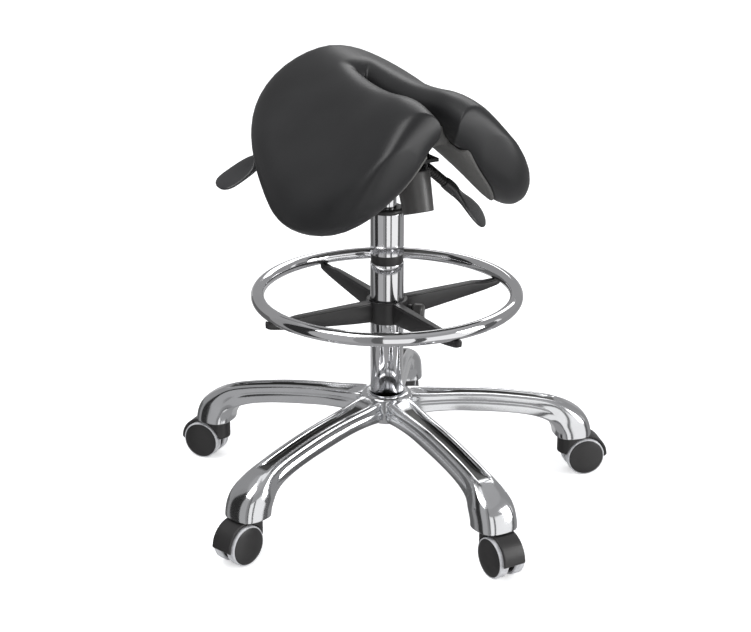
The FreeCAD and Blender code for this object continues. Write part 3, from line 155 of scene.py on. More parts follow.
def flat_card(name, centre, size, level):
    """A level panel of the studio; its centre is given before the studio is turned."""
    x, y, z = centre
    a, b = size[0] / 2, size[1] / 2
    turn = Matrix.Rotation(math.radians(STUDIO_TURN_DEG), 3, "Z")
    corners = [turn @ Vector((x + i, y + j, 0)) + Vector((0, 0, z))
               for i, j in ((-a, -b), (a, -b), (a, b), (-a, b))]
    only_in_reflections(object_from(name, corners, [(0, 1, 2, 3)], smooth=False), level)


def background_rays(tree):
    """1 for the camera's own rays and those that it sends on through gloss or glass, else 0."""
    path = add(tree, "ShaderNodeLightPath")
    seen = add(tree, "ShaderNodeMath", {"operation": "MAXIMUM"},
               i0=path.outputs["Is Camera Ray"], i1=path.outputs["Is Glossy Ray"])
    return add(tree, "ShaderNodeMath", {"operation": "MAXIMUM"},
               i0=seen.outputs[0], i1=path.outputs["Is Transmission Ray"]).outputs[0]


def make_stage():
    """A white floor that keeps the stool's shadow, and the studio's cards round and above it."""
    size = 30.0
    corners = [(-size, -size, 0), (size, -size, 0), (size, size, 0), (-size, size, 0)]
    floor = object_from("floor", corners, [(0, 1, 2, 3)], smooth=False)
    material, tree = blank_material("matt_white_floor")
    lift = add(tree, "ShaderNodeMath", {"operation": "MULTIPLY"}, i0=background_rays(tree), i1=0.50)
    paint = add(tree, "ShaderNodeBsdfDiffuse", Color=hex_colour("F4F4F4"))
    white = add(tree, "ShaderNodeEmission", Color=(1, 1, 1, 1), Strength=lift.outputs[0])
    both = add(tree, "ShaderNodeAddShader", i0=paint.outputs[0], i1=white.outputs[0])
    add(tree, "ShaderNodeOutputMaterial", Surface=both.outputs[0])
    floor.data.materials.append(material)
    floor.visible_glossy = False
    # start angle, end angle, level: the grey and black flags that give plated metal its stripes
    flags = [(-180, -148, 0.50), (-148, -108, 0.13), (-108, -90, 0.30), (-90, -64, 0.03),
             (-64, -26, 0.42), (-26, -12, 0.28), (-12, -3, 0.12), (22, 31, 0.10),
             (78, 98, 0.12), (98, 150, 0.30), (150, 180, 0.42)]
    bottom, low_top, mid, top = -3.5, 0.3, 1.5, 4.5
    for number, (start, end, level) in enumerate(flags, start=1):
        behind = abs(start) >= 98 and abs(end) >= 98
        wall_card(f"flag_{number}", start, end, bottom, low_top if behind else top, level)
    wall_card("flag_behind", 104, 256, low_top, top, 0.32)
    wall_card("flag_right", -3, 104, mid, top, 0.36)
    flat_card("flag_above", (0, 0, top), (7, 7), 0.42)
    flat_card("window_above", (-0.9, 0.6, top - 0.05), (1.3, 2.6), 1.0)
    flat_card("flag_below", (0, 0, bottom), (7, 7), 0.34)


def area_light(name, azimuth, elevation, distance, size, power):
    """A softbox that faces the middle of the stool; azimuth turns to the right from the camera."""
    data = bpy.data.lights.new(name, "AREA")
    data.shape, data.size, data.size_y, data.energy = "RECTANGLE", size[0], size[1], power
    light = bpy.data.objects.new(name, data)
    a, e = math.radians(STUDIO_TURN_DEG - 90 + azimuth), math.radians(elevation)
    back = Vector((math.cos(a) * math.cos(e), math.sin(a) * math.cos(e), math.sin(e)))
    light.location = Vector((0, 0, 0.4)) + back * distance
    light.rotation_mode = "QUATERNION"
    light.rotation_quaternion = back.to_track_quat("Z", "Y")
    bpy.context.scene.collection.objects.link(light)
    return light


def make_light():
    """A soft grey world that shows white behind the stool, and three softboxes."""
    world = bpy.data.worlds.new("studio")
    bpy.context.scene.world = world
    world.use_nodes = True
    tree = world.node_tree
    tree.nodes.clear()
    seen = background_rays(tree)
    soft = add(tree, "ShaderNodeBackground", Color=(0.62, 0.63, 0.65, 1), Strength=1.0)
    white = add(tree, "ShaderNodeBackground", Color=(1, 1, 1, 1), Strength=1.0)
    mix = add(tree, "ShaderNodeMixShader", i0=seen, i1=soft.outputs[0], i2=white.outputs[0])
    add(tree, "ShaderNodeOutputWorld", Surface=mix.outputs[0])
    area_light("softbox_right", 72, 12, 2.4, (0.9, 1.6), 26)
    area_light("softbox_top_left", -50, 58, 2.8, (1.6, 1.6), 34)
    area_light("softbox_back", 165, 35, 3.0, (1.8, 1.2), 16)
    bpy.context.scene.view_settings.view_transform = "Standard"


# ------------------------------------------------------------ materials
# A pattern's Scale is its grains a metre. Grains under half a millimetre wouldn't show at this
# distance, so the finest ones are drawn at about that size.
def principled(tree, **values):
    """The surface shader, joined to the material's output."""
    shader = add(tree, "ShaderNodeBsdfPrincipled", **values)
    add(tree, "ShaderNodeOutputMaterial", Surface=shader.outputs[0])
    return shader


def ramp(tree, factor, stops):
    """A colour ramp's output, from (place, colour) stops."""
    item = add(tree, "ShaderNodeValToRGB", i0=factor)
    elements = item.color_ramp.elements
    while len(elements) < len(stops):
        elements.new(0.5)
    for element, (place, colour) in zip(elements, stops):
        element.position, element.color = place, colour
    return item.outputs[0]


def grey(level):
    """A grey of that linear level."""
    return (level, level, level, 1)


def moulded_plastic(name, colour, roughness, grain_mm, bump):
    """Injection-moulded plastic: a fine spark-eroded grain and slightly uneven sheen."""
    material, tree = blank_material(name)
    variation = 0.12
    place = add(tree, "ShaderNodeTexCoord").outputs["Object"]
    grain = add(tree, "ShaderNodeTexNoise", Vector=place, Scale=1000 / grain_mm, Detail=2.0)
    cloud = add(tree, "ShaderNodeTexNoise", Vector=place, Scale=28.0, Detail=3.0)
    base = hex_colour(colour)
    low = tuple(c * (1 - variation) for c in base[:3]) + (1,)
    high = tuple(c * (1 + variation) for c in base[:3]) + (1,)
    tint = ramp(tree, cloud.outputs["Fac"], [(0.3, low), (0.7, high)])
    rough = ramp(tree, cloud.outputs["Fac"], [(0.3, grey(roughness - 0.04)), (0.7, grey(roughness + 0.05))])
    relief = add(tree, "ShaderNodeBump", Height=grain.outputs["Fac"], Strength=bump, Distance=0.0002)
    shader = principled(tree, Base_Color=tint, Roughness=rough, Normal=relief.outputs[0])
    shader.inputs["IOR"].default_value = 1.49
    return material


def polished_metal(name, colour, roughness, streak, bump=0.0, scale=9.0):
    """Bare or plated metal: near-mirror, with faint cloudy polish marks."""
    material, tree = blank_material(name)
    place = add(tree, "ShaderNodeTexCoord").outputs["Object"]
    cloud = add(tree, "ShaderNodeTexNoise", Vector=place, Scale=scale, Detail=4.0)
    base = hex_colour(colour)
    dim = tuple(c * 0.93 for c in base[:3]) + (1,)
    tint = ramp(tree, cloud.outputs["Fac"], [(0.35, dim), (0.65, base)])
    rough = ramp(tree, cloud.outputs["Fac"], [(0.35, grey(roughness)), (0.7, grey(roughness + streak))])
    links = {"Base_Color": tint, "Roughness": rough}
    if bump:
        wave = add(tree, "ShaderNodeTexNoise", Vector=place, Scale=scale * 2.5, Detail=2.0)
        links["Normal"] = add(tree, "ShaderNodeBump", Height=wave.outputs["Fac"], Strength=bump,
                              Distance=0.0004).outputs[0]
    shader = principled(tree, **links)
    shader.inputs["Metallic"].default_value = 1.0
    return material


def metal_with_painted_channel_shade(name, colour, roughness, streak, bump, scale):
    """Polished casting whose channels, marked on the mesh, get painted shade: a darker grey and a rougher
    finish.
    """
    material = polished_metal(name, colour, roughness, streak, bump, scale)
    tree = material.node_tree
    shader = next(n for n in tree.nodes if n.type == "BSDF_PRINCIPLED")
    shade_mark = add(tree, "ShaderNodeAttribute", {"attribute_name": "recess"}).outputs["Fac"]
    channel_shade_tone = add(tree, "ShaderNodeMix", {"data_type": "RGBA"})
    tree.links.new(shade_mark, channel_shade_tone.inputs[0])
    tree.links.new(shader.inputs["Base Color"].links[0].from_socket, channel_shade_tone.inputs[6])
    # painted shade: the marked channels are coloured this darker grey
    channel_shade_tone.inputs[7].default_value = hex_colour("545453")
    rough = add(tree, "ShaderNodeMath", {"operation": "MULTIPLY_ADD"}, i0=shade_mark, i1=0.22,
                i2=shader.inputs["Roughness"].links[0].from_socket)
    tree.links.new(channel_shade_tone.outputs[2], shader.inputs["Base Color"])
    tree.links.new(rough.outputs[0], shader.inputs["Roughness"])
    return material


def smooth_leather(name):
    """Polyurethane-coated leather: fine pebble grain, soft sheen, slightly cloudy black."""
    material, tree = blank_material(name)
    place = add(tree, "ShaderNodeTexCoord").outputs["Object"]
    # pebbles 1.4 mm across, creases 4 mm apart and clouds of 90 mm
    pebble = add(tree, "ShaderNodeTexVoronoi", {"feature": "SMOOTH_F1"}, Vector=place, Scale=700.0)
    crease = add(tree, "ShaderNodeTexNoise", Vector=place, Scale=260.0, Detail=4.0, Roughness=0.6)
    cloud = add(tree, "ShaderNodeTexNoise", Vector=place, Scale=11.0, Detail=3.0)
    height = add(tree, "ShaderNodeMath", {"operation": "MULTIPLY_ADD"}, i0=crease.outputs["Fac"], i1=0.5,
                 i2=pebble.outputs["Distance"])
    relief = add(tree, "ShaderNodeBump", Height=height.outputs[0], Strength=0.10, Distance=0.0003)
    tint = ramp(tree, cloud.outputs["Fac"], [(0.3, hex_colour("1F1F20")), (0.7, hex_colour("262627"))])
    rough = ramp(tree, cloud.outputs["Fac"], [(0.3, grey(0.36)), (0.7, grey(0.43))])
    shader = principled(tree, Base_Color=tint, Roughness=rough, Normal=relief.outputs[0])
    shader.inputs["IOR"].default_value = 1.47
    return material


def soft_tread(name):
    """Grey thermoplastic tyre: matt, with scuffs of about 8 mm."""
    material, tree = blank_material(name)
    place = add(tree, "ShaderNodeTexCoord").outputs["Object"]
    scuff = add(tree, "ShaderNodeTexNoise", Vector=place, Scale=120.0, Detail=5.0)
    tint = ramp(tree, scuff.outputs["Fac"], [(0.3, hex_colour("B9B9BB")), (0.62, hex_colour("D6D6D8"))])
    relief = add(tree, "ShaderNodeBump", Height=scuff.outputs["Fac"], Strength=0.12, Distance=0.0003)
    principled(tree, Base_Color=tint, Roughness=0.42, Normal=relief.outputs[0])
    return material


def cover_board(name):
    """Pressed cover board under the seat: matt dark grey with a fibre speckle of 2.4 mm."""
    material, tree = blank_material(name)
    place = add(tree, "ShaderNodeTexCoord").outputs["Object"]
    fibre = add(tree, "ShaderNodeTexNoise", Vector=place, Scale=420.0, Detail=3.0, Roughness=0.7)
    tint = ramp(tree, fibre.outputs["Fac"], [(0.35, hex_colour("5E5D5B")), (0.65, hex_colour("6A6966"))])
    relief = add(tree, "ShaderNodeBump", Height=fibre.outputs["Fac"], Strength=0.2, Distance=0.0003)
    principled(tree, Base_Color=tint, Roughness=0.62, Normal=relief.outputs[0])
    return material


FINISH = {
    # buffed by hand, so its reflections wander a little; its channels are painted darker as shade
    "polished_aluminium": metal_with_painted_channel_shade("polished_cast_aluminium", "E9EAEC", 0.12, 0.06, 0.10, 14.0),
    # plated over a ground tube: crisp, nearly white reflections
    "chrome_steel": polished_metal("chrome_plated_steel", "EEEEF0", 0.055, 0.03),
    # thin zinc: grey, with soft broad reflections
    "bright_steel": polished_metal("zinc_plated_steel", "A9ABAE", 0.26, 0.10, 0.15, 40.0),
    # baked powder: near black with an orange-peel sheen
    "black_steel": moulded_plastic("powder_coated_steel", "1B1B1C", 0.42, 0.6, 0.35),
    # satin black with a dry highlight
    "black_nylon": moulded_plastic("moulded_black_nylon", "2D2C2C", 0.36, 0.5, 0.22),
    # smooth tool faces: a bright line along each bend
    "gloss_black_plastic": moulded_plastic("gloss_black_acrylic_plastic", "373738", 0.17, 0.9, 0.04),
    "grey_tread": soft_tread("grey_thermoplastic_tread"),
    "black_leathercloth": smooth_leather("black_coated_leather"),
    "dark_cover_board": cover_board("grey_cover_board"),
}


def finish_piece(item, slot, body, *nodes):
    """Material, slot and body of a new piece, and the solids it stands for."""
    item.data.materials.clear()
    item.data.materials.append(FINISH[slot])
    if nodes:
        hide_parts(*nodes)
    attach(item, body)
    return item


# ------------------------------------------------------------ mesh helpers
def baked(item):
    """The piece as a plain mesh, with its modifiers applied."""
    graph = bpy.context.evaluated_depsgraph_get()
    mesh = bpy.data.meshes.new_from_object(item.evaluated_get(graph))
    old = item.data
    item.modifiers.clear()
    item.data = mesh
    mesh.name = item.name
    if old.users == 0 and isinstance(old, bpy.types.Mesh):
        bpy.data.meshes.remove(old)
    return item


def tidy_normals(item):
    """Merges doubled points and turns every face outwards."""
    work = bmesh.new()
    work.from_mesh(item.data)
    bmesh.ops.remove_doubles(work, verts=work.verts, dist=1e-6)
    bmesh.ops.recalc_face_normals(work, faces=work.faces)
    work.to_mesh(item.data)
    work.free()
    return item


def joined(name, items):
    """One object that holds every mesh in items."""
    verts, faces = [], []
    for item in items:
        start = len(verts)
        verts += [v.co.copy() for v in item.data.vertices]
        faces += [tuple(start + i for i in f.vertices) for f in item.data.polygons]
        dropped(item)
    return object_from(name, verts, faces)


def subdivided(item, levels):
    """The piece after that many rounds of subdivision."""
    modifier = item.modifiers.new("subdivision", "SUBSURF")
    modifier.levels = modifier.render_levels = levels
    return baked(item)


def lathe(name, outline, origin=(0, 0, 0), axis=(0, 0, 1), steps=72):
    """Turns an outline of (radius, height, edge radius) about an axis.

    An outline that starts at radius 0 ends there too, and any other closes on itself.
    """
    points = rounded(outline)
    axis, origin = Vector(axis).normalized(), Vector(origin)
    side = axis.orthogonal().normalized()
    across = axis.cross(side)
    verts, faces = [], []
    closed = outline[0][0] > 1e-6
    for r, h in points:
        for i in range(steps):
            a = 2 * math.pi * i / steps
            verts.append((origin + axis * h + (side * math.cos(a) + across * math.sin(a)) * r) * MM)
    count = len(points)
    for k in range(count if closed else count - 1):
        n = (k + 1) % count
        for i in range(steps):
            j = (i + 1) % steps
            faces.append((k * steps + i, k * steps + j, n * steps + j, n * steps + i))
    return tidy_normals(object_from(name, verts, faces))


def rounded(outline, steps=4):
    """An outline with its corners rounded; a point is (radius, height) or (radius, height, rounding)."""
    points = []
    count = len(outline)
    closed = outline[0][0] > 1e-6
    for i, point in enumerate(outline):
        here = Vector(point[:2])
        bend = point[2] if len(point) > 2 else 0.0
        inner = closed or 0 < i < count - 1
        if not bend or not inner:
            points.append((here.x, here.y))
            continue
        before = Vector(outline[i - 1][:2]) - here
        after = Vector(outline[(i + 1) % count][:2]) - here
        reach = min(bend, before.length * 0.49, after.length * 0.49)
        a, b = here + before.normalized() * reach, here + after.normalized() * reach
        for k in range(steps + 1):
            t = k / steps
            spot = a * (1 - t) ** 2 + here * (2 * t * (1 - t)) + b * t ** 2
            points.append((spot.x, spot.y))
    return points


def skin(name, loops, close_ends=True):
    """A surface over closed loops with equal counts."""
    count = len(loops[0])
    verts = [p * MM for loop in loops for p in loop]
    faces = []
    for k in range(len(loops) - 1):
        for i in range(count):
            j = (i + 1) % count
            faces.append((k * count + i, k * count + j, (k + 1) * count + j, (k + 1) * count + i))
    if close_ends:
        faces.append(tuple(range(count)))
        faces.append(tuple(range(len(verts) - count, len(verts))))
    return tidy_normals(object_from(name, verts, faces))


def placed(item, matrix):
    """The object with its place put into its mesh."""
    item.data.transform(matrix)
    return item


def dropped(item):
    """Removes a helper object and its mesh."""
    mesh = item.data
    bpy.data.objects.remove(item)
    bpy.data.meshes.remove(mesh)


def combined(item, tool, operation):
    """The boolean of item and tool, after which the tool is gone."""
    modifier = item.modifiers.new("boolean", "BOOLEAN")
    modifier.object, modifier.operation, modifier.solver = tool, operation, "EXACT"
    baked(item)
    dropped(tool)
    return item


def melted(item, voxel, rounds, keep):
    """The same form with its edges melted round: voxels of that size, smoothed and thinned."""
    tidy_normals(item)
    remesh = item.modifiers.new("remesh", "REMESH")
    remesh.mode, remesh.voxel_size = "VOXEL", voxel * MM
    soften = item.modifiers.new("soften", "SMOOTH")
    soften.factor, soften.iterations = 0.5, rounds
    thin = item.modifiers.new("thin", "DECIMATE")
    thin.ratio = keep
    return baked(item)


def geometry_piece(name, tree, inputs):
    """A mesh made by a geometry tree, with its named inputs set."""
    item = object_from(name, [(0, 0, 0)], [])
    modifier = item.modifiers.new("build", "NODES")
    modifier.node_group = tree
    sockets = {s.name: s.identifier for s in tree.interface.items_tree if s.in_out == "INPUT"}
    for label, value in inputs.items():
        modifier[sockets[label]] = value
    return baked(item)


def new_tree(name, floats=(), ints=()):
    """A geometry tree with named inputs; returns it, its inputs and its output."""
    tree = bpy.data.node_groups.new(name, "GeometryNodeTree")
    face = tree.interface
    face.new_socket("Geometry", in_out="INPUT", socket_type="NodeSocketGeometry")
    for kind, rows in (("NodeSocketFloat", floats), ("NodeSocketInt", ints)):
        for label, value in rows:
            face.new_socket(label, in_out="INPUT", socket_type=kind).default_value = value
    face.new_socket("Geometry", in_out="OUTPUT", socket_type="NodeSocketGeometry")
    return tree, tree.nodes.new("NodeGroupInput").outputs, tree.nodes.new("NodeGroupOutput").inputs


def ease(x, start, end):
    """Rises smoothly from 0 at start to 1 at end."""
    t = min(1.0, max(0.0, (x - start) / (end - start)))
    return t * t * (3 - 2 * t)


# ------------------------------------------------------------ saddle
def natural_cubic(knots, values):
    """The smoothest curve through the given values; the function it returns reads it at x."""
    n = len(knots)
    gap = [knots[i + 1] - knots[i] for i in range(n - 1)]
    rise = [(values[i + 1] - values[i]) / gap[i] for i in range(n - 1)]
    diag, right = [1.0] * n, [0.0] * n
    for i in range(1, n - 1):
        lower = gap[i - 1] / diag[i - 1] if i > 1 else 0.0
        upper = gap[i - 1] if i > 1 else 0.0
        diag[i] = 2 * (gap[i - 1] + gap[i]) - lower * upper
        right[i] = 6 * (rise[i] - rise[i - 1]) - lower * right[i - 1]
    bend = [0.0] * n
    for i in range(n - 2, 0, -1):
        bend[i] = (right[i] - gap[i] * bend[i + 1]) / diag[i]

    def value(x):
        i = max(k for k in range(n - 1) if k == 0 or knots[k] <= x)
        a, b, h = knots[i + 1] - x, x - knots[i], gap[i]
        straight = (values[i] / h - bend[i] * h / 6) * a + (values[i + 1] / h - bend[i + 1] * h / 6) * b
        return (bend[i] * a ** 3 + bend[i + 1] * b ** 3) / (6 * h) + straight

    return value


RIDGE = natural_cubic([-220, -130, -20, 90, 190], [636, 629.5, 619, 619, 612])
RIM_KNOTS = [0, 0.18, 0.40, 0.62, 0.80, 0.92, 1.0]
RIM_FORWARD = natural_cubic(RIM_KNOTS, [-198, -181, -105, -14, 72, 161, 172])
RIM_LEFT = natural_cubic(RIM_KNOTS, [0, 97, 163, 186, 177, 124, 58])
PAD_THICKNESS = 67.0
EDGE_ROUND = 42.0
SLOT_BACK, SLOT_FRONT = -67.0, 168.0
# the lobes meet over this share of the stations, behind the slot
CREST_SHARE = 0.15
# the run of the stations from the back edge to the two front tips
PAD_RUN = 420.0
# how steeply the lobes fall, and how wide the ridge between them is, at the back and at the front
BACK_SLOPE, FRONT_SLOPE = 0.91, 1.255
BACK_RIDGE, FRONT_RIDGE = 96.0, 55.0
PAD_STATIONS = 45
PAD_ROWS = 34


def saddle_height(forward, left):
    """Height of the pad's middle face: a ridge that falls to both sides, steeper towards the front."""
    share = ease(forward, -150, 130)
    steep = BACK_SLOPE + (FRONT_SLOPE - BACK_SLOPE) * share
    flat = BACK_RIDGE + (FRONT_RIDGE - BACK_RIDGE) * share
    # each lobe swells a little beside the slot's front half
    swell = 10.5 * math.exp(-((forward - 120) / 53) ** 2 - ((abs(left) - 37) / 47) ** 2)
    return RIDGE(forward) - steep * (math.hypot(left, flat) - flat) + swell


def cap(distance):
    """Share of the full thickness at that distance from an edge, for a plump round edge."""
    return math.sqrt(max(0.0, 1 - (1 - min(1.0, max(0.0, distance) / EDGE_ROUND)) ** 2.4))


def pad_line(u):
    """Where the line over one lobe starts at the slot, its direction and its length, at station u."""
    outer = Vector((RIM_FORWARD(u), RIM_LEFT(u)))
    v = max(0.0, (u - CREST_SHARE) / (1 - CREST_SHARE))
    half_slot = 4 * min(1.0, u / CREST_SHARE) + 11 * v ** 1.6
    inner = Vector((SLOT_BACK + (SLOT_FRONT - SLOT_BACK) * v ** 1.25, half_slot))
    run = outer - inner
    return inner, run.normalized(), run.length


def pad_point(u, d, side, lift=0.0):
    """A point on the pad's top (side 1) or underside (side -1), d from the slot, lifted off the face."""
    inner, run, length = pad_line(u)
    spot = inner + run * d
    ahead, behind = spot + run * 0.5, spot - run * 0.5
    slope = saddle_height(ahead.x, ahead.y) - saddle_height(behind.x, behind.y)
    scale = math.hypot(1, slope)
    half = PAD_THICKNESS / 2 * min(cap(d), cap(length - d), cap((1 - u) * PAD_RUN)) + lift
    flat = spot - run * (slope / scale * half * side)
    return Vector((flat.y, -flat.x, saddle_height(spot.x, spot.y) + side * half / scale))


def saddle_loop(u):
    """A closed loop over the pad's top and underside at station u, from the slot to the rim and back."""
    length = pad_line(u)[2]
    rows = [length * (0.5 - 0.5 * math.cos(math.pi * i / (PAD_ROWS - 1))) for i in range(PAD_ROWS)]
    top = [pad_point(u, d, 1) for d in rows]
    under = [pad_point(u, d, -1) for d in rows]
    return top + under[-2:0:-1]


def make_cushion():
    """The upholstered pad: one lobe's loops and their mirror image, with room for the board beneath."""
    stations = [math.sin(math.pi / 2 * i / (PAD_STATIONS - 1)) for i in range(PAD_STATIONS)]
    left = [saddle_loop(u) for u in stations]
    right = [[Vector((-p.x, p.y, p.z)) for p in loop] for loop in left[:0:-1]]
    item = skin("saddle_pad", right + left, close_ends=False)
    combined(item, board_room(), "DIFFERENCE")
    shaded(item.data)
    return finish_piece(item, "black_leathercloth", "seat", "seat_cushion")


# distances from the cover's edge at which its face is drawn, closest over the edge and the groove
COVER_STEPS = [0, 0.25, 0.8, 1.7, 3, 4.6, 5.8, 6.5, 7, 7.5, 8.2, 9.5, 13, 20, 32]
COVER_STATIONS = 45


def cover_rows(half):
    """(place, distance from the edge) across the cover, where it is half wide to each side."""
    edge = [half * e / 40 if half < 40 else e for e in COVER_STEPS]
    return [(-half + e, e) for e in edge] + [(half - e, e) for e in reversed(edge)]


def cover_thickness(near):
    """3 mm with an edge round of 2.5 mm, less the groove that runs 7 mm inside the edge."""
    return 3.0 * math.sqrt(1 - (1 - min(1.0, near / 2.5)) ** 2) - 1.1 * math.exp(-((near - 7) / 0.8) ** 2)


def make_cover(name, node, hand):
    """The pressed cover under one lobe: rounded outline, soft edge, and a groove that runs round it."""
    corner = 2.8
    slot_gap, rim_gap = 24, 16
    loops = []
    for i in range(COVER_STATIONS):
        s = -math.cos(math.pi * i / (COVER_STATIONS - 1))
        u = 0.506 + 0.464 * s
        width = max(0.004, (1 - abs(s) ** corner)) ** (1 / corner)
        length = pad_line(u)[2]
        middle, half = (slot_gap + length - rim_gap) / 2, (length - slot_gap - rim_gap) / 2 * width
        end = (1 - abs(s)) * 150
        top, under = [], []
        for place, edge in cover_rows(half):
            thick = cover_thickness(min(edge, end))
            point = pad_point(u, middle + place, -1, 0.9)
            low = pad_point(u, middle + place, -1, 0.95 + thick)
            top.append(Vector((hand * point.x, point.y, point.z)))
            under.append(Vector((hand * low.x, low.y, low.z)))
        loops.append(top + under[::-1])
    return finish_piece(skin(name, loops), "dark_cover_board", "seat", node)


def box_at(name, low, high):
    """A box between two opposite corners."""
    corners = [Vector((x, y, z)) * MM
               for x in (low[0], high[0]) for y in (low[1], high[1]) for z in (low[2], high[2])]
    faces = [(0, 1, 3, 2), (4, 6, 7, 5), (0, 4, 5, 1), (2, 3, 7, 6), (0, 2, 6, 4), (1, 5, 7, 3)]
    return object_from(name, corners, faces, smooth=False)


def board_room():
    """The pocket under the pad for the board, the seat plate, its pin and the lever."""
    pocket = box_at("board_pocket", (-34.4, -125.4, 500), (34.4, 122.4, 602.4))
    combined(pocket, box_at("plate_pocket", (-39.4, -100.4, 516), (39.4, 62.4, 576.4)), "UNION")
    combined(pocket, box_at("pin_pocket", (-42.6, -23.1, 530), (42.6, -8.9, 568.1)), "UNION")
    combined(pocket, box_at("lever_pocket", (-60.6, -10, 516), (-38.0, 18, 575.1)), "UNION")
    return pocket


# ------------------------------------------------------------ star base
# the arm from the side: (radius, height) along its top and along its underside
ARM_TOP = [(24, 163), (48, 161), (71, 158), (100, 156), (130, 153.5), (165, 149.5), (199, 143.5),
           (232, 137), (255, 131.5), (272, 127), (286, 121.5), (300, 114), (311, 106), (319, 97),
           (324, 86), (326.5, 75), (327, 67)]
ARM_UNDER = [(24, 128), (48, 131), (66, 131.5), (90, 130), (113, 128), (145, 124), (176, 120),
             (204, 115), (226, 109.5), (241, 103.5), (250, 98.5), (256.5, 93), (261, 87),
             (264.5, 81), (267, 75.5), (268, 71), (268.5, 67)]
# half the arm's section, (width, depth): a rail with a channel on top and a hollow below
RAIL = [(0, 7.5), (5.2, 7.5), (6.6, 6.8), (7.2, 2.0), (8.4, 0.3), (11.5, -0.2), (15.4, 0.9),
        (17.3, 4.2), (17.6, 9.0), (16.4, 12.0), (15.6, 13.8), (17.6, 16.0), (19.0, 20.0),
        (19.6, 27.0), (18.8, 29.0), (16.0, 29.0), (13.6, 24.0), (12.4, 15.5), (0, 14.5)]
RAIL_DEPTH = 29.0
CHANNEL_POINTS, HOLLOW_FROM = 4, 15
# half the section of the solid shoe over the castor, with as many points
SHOE = [(0, 0), (6.5, 0.3), (12.5, 1.2), (17.5, 3.4), (21.5, 6.8), (24.4, 11.3), (26.3, 16.5),
        (27.5, 22.5), (28.1, 28.5), (28.2, 34.0), (27.9, 39.5), (26.9, 44.5), (24.8, 49.0),
        (21.5, 52.6), (17.6, 55.2), (13.4, 57.0), (9.2, 58.0), (4.8, 58.5), (0, 58.6)]
SHOE_DEPTH = 58.6
FOOT_CENTRE, FOOT_Z = 298.0, 67.0


def arm_section(step, last):
    """Half the arm's outline at one station: a grooved rail that turns into a solid rounded shoe."""
    (r0, z0), (r1, z1) = ARM_TOP[step], ARM_UNDER[step]
    top, under = Vector((r0, 0, z0)), Vector((r1, 0, z1))
    depth = (under - top).length
    down = (under - top).normalized()
    shoe = ease(step, 7.5, 12.5)
    root = 1 - ease(r0, 40, 110)
    channel = ease(r0, 52, 80) * (1 - ease(r0, 252, 272))
    hollow = ease(r0, 60, 90) * (1 - ease(r0, 225, 250))
    points = []
    for k, ((a, b), (c, d)) in enumerate(zip(RAIL, SHOE)):
        wide, deep = a + 4.5 * root, b * depth / RAIL_DEPTH
        if k < CHANNEL_POINTS:
            deep *= channel
        if k >= HOLLOW_FROM:
            deep = depth * 0.99 + (deep - depth * 0.99) * hollow
        solid = Vector((c * (1.04 + 0.08 * step / last), d * depth / SHOE_DEPTH))
        flat = Vector((wide, deep)).lerp(solid, shoe)
        points.append(top + down * flat.y + Vector((0, flat.x, 0)))
    return points


def arm_top_at(along):
    """Height of the arm's top at that radius."""
    for (r0, z0), (r1, z1) in zip(ARM_TOP, ARM_TOP[1:]):
        if r0 <= along <= r1:
            return z0 + (z1 - z0) * (along - r0) / (r1 - r0)
    return 0


def mark_painted_channel_shade(item):
    """Marks the walls and floor of each arm's channel on the mesh, where the metal gets painted shade."""
    values = []
    for vertex in item.data.vertices:
        x, y, z = vertex.co / MM
        radius, angle = math.hypot(x, y), math.degrees(math.atan2(y, x))
        off = math.radians(min(((angle - a + 180) % 360 - 180 for a in LEG_DEG), key=abs))
        along, side = radius * math.cos(off), abs(radius * math.sin(off))
        # the channel's walls and floor, which get painted shade
        in_shaded_channel = side < 7.3 and 62 < along < 268 and 1.6 < arm_top_at(along) - z < 12
        values.append(1.0 if in_shaded_channel else 0.0)
    item.data.attributes.new("recess", "FLOAT", "POINT").data.foreach_set("value", values)


def make_arm():
    """One arm along x, whose foot is rolled in before it closes."""
    last = len(ARM_TOP) - 1
    loops = []
    for step in range(last + 1):
        half = arm_section(step, last)
        loops.append(half + [Vector((p.x, -p.y, p.z)) for p in half[-2:0:-1]])
    foot = [Vector((p.x - FOOT_CENTRE, p.y)) for p in loops[last]]
    for shrink in (0.985, 0.93, 0.6):
        loops.append([Vector((FOOT_CENTRE + p.x * shrink, p.y * shrink, FOOT_Z)) for p in foot])
    return subdivided(skin("arm", loops), 2)


def make_star_base():
    """Five cast arms round a hub, as one casting."""
    arm = make_arm()
    arms = [arm]
    for a in LEG_DEG[1:]:
        copy = arm.copy()
        copy.data = arm.data.copy()
        bpy.context.scene.collection.objects.link(copy)
        arms.append(placed(copy, Matrix.Rotation(math.radians(a), 4, "Z")))
    placed(arm, Matrix.Rotation(math.radians(LEG_DEG[0]), 4, "Z"))
    hub = lathe("hub", [(COLUMN_R, 164.5, 0.5), (33, 165, 3), (39, 160, 4), (37, 140, 4),
                        (31, 125, 4), (27, 121, 2), (COLUMN_R, 121, 0.5)], steps=96)
    item = joined("star_base_casting", arms + [hub])
    mark_painted_channel_shade(item)
    return finish_piece(item, "polished_aluminium", "base", "star_base")


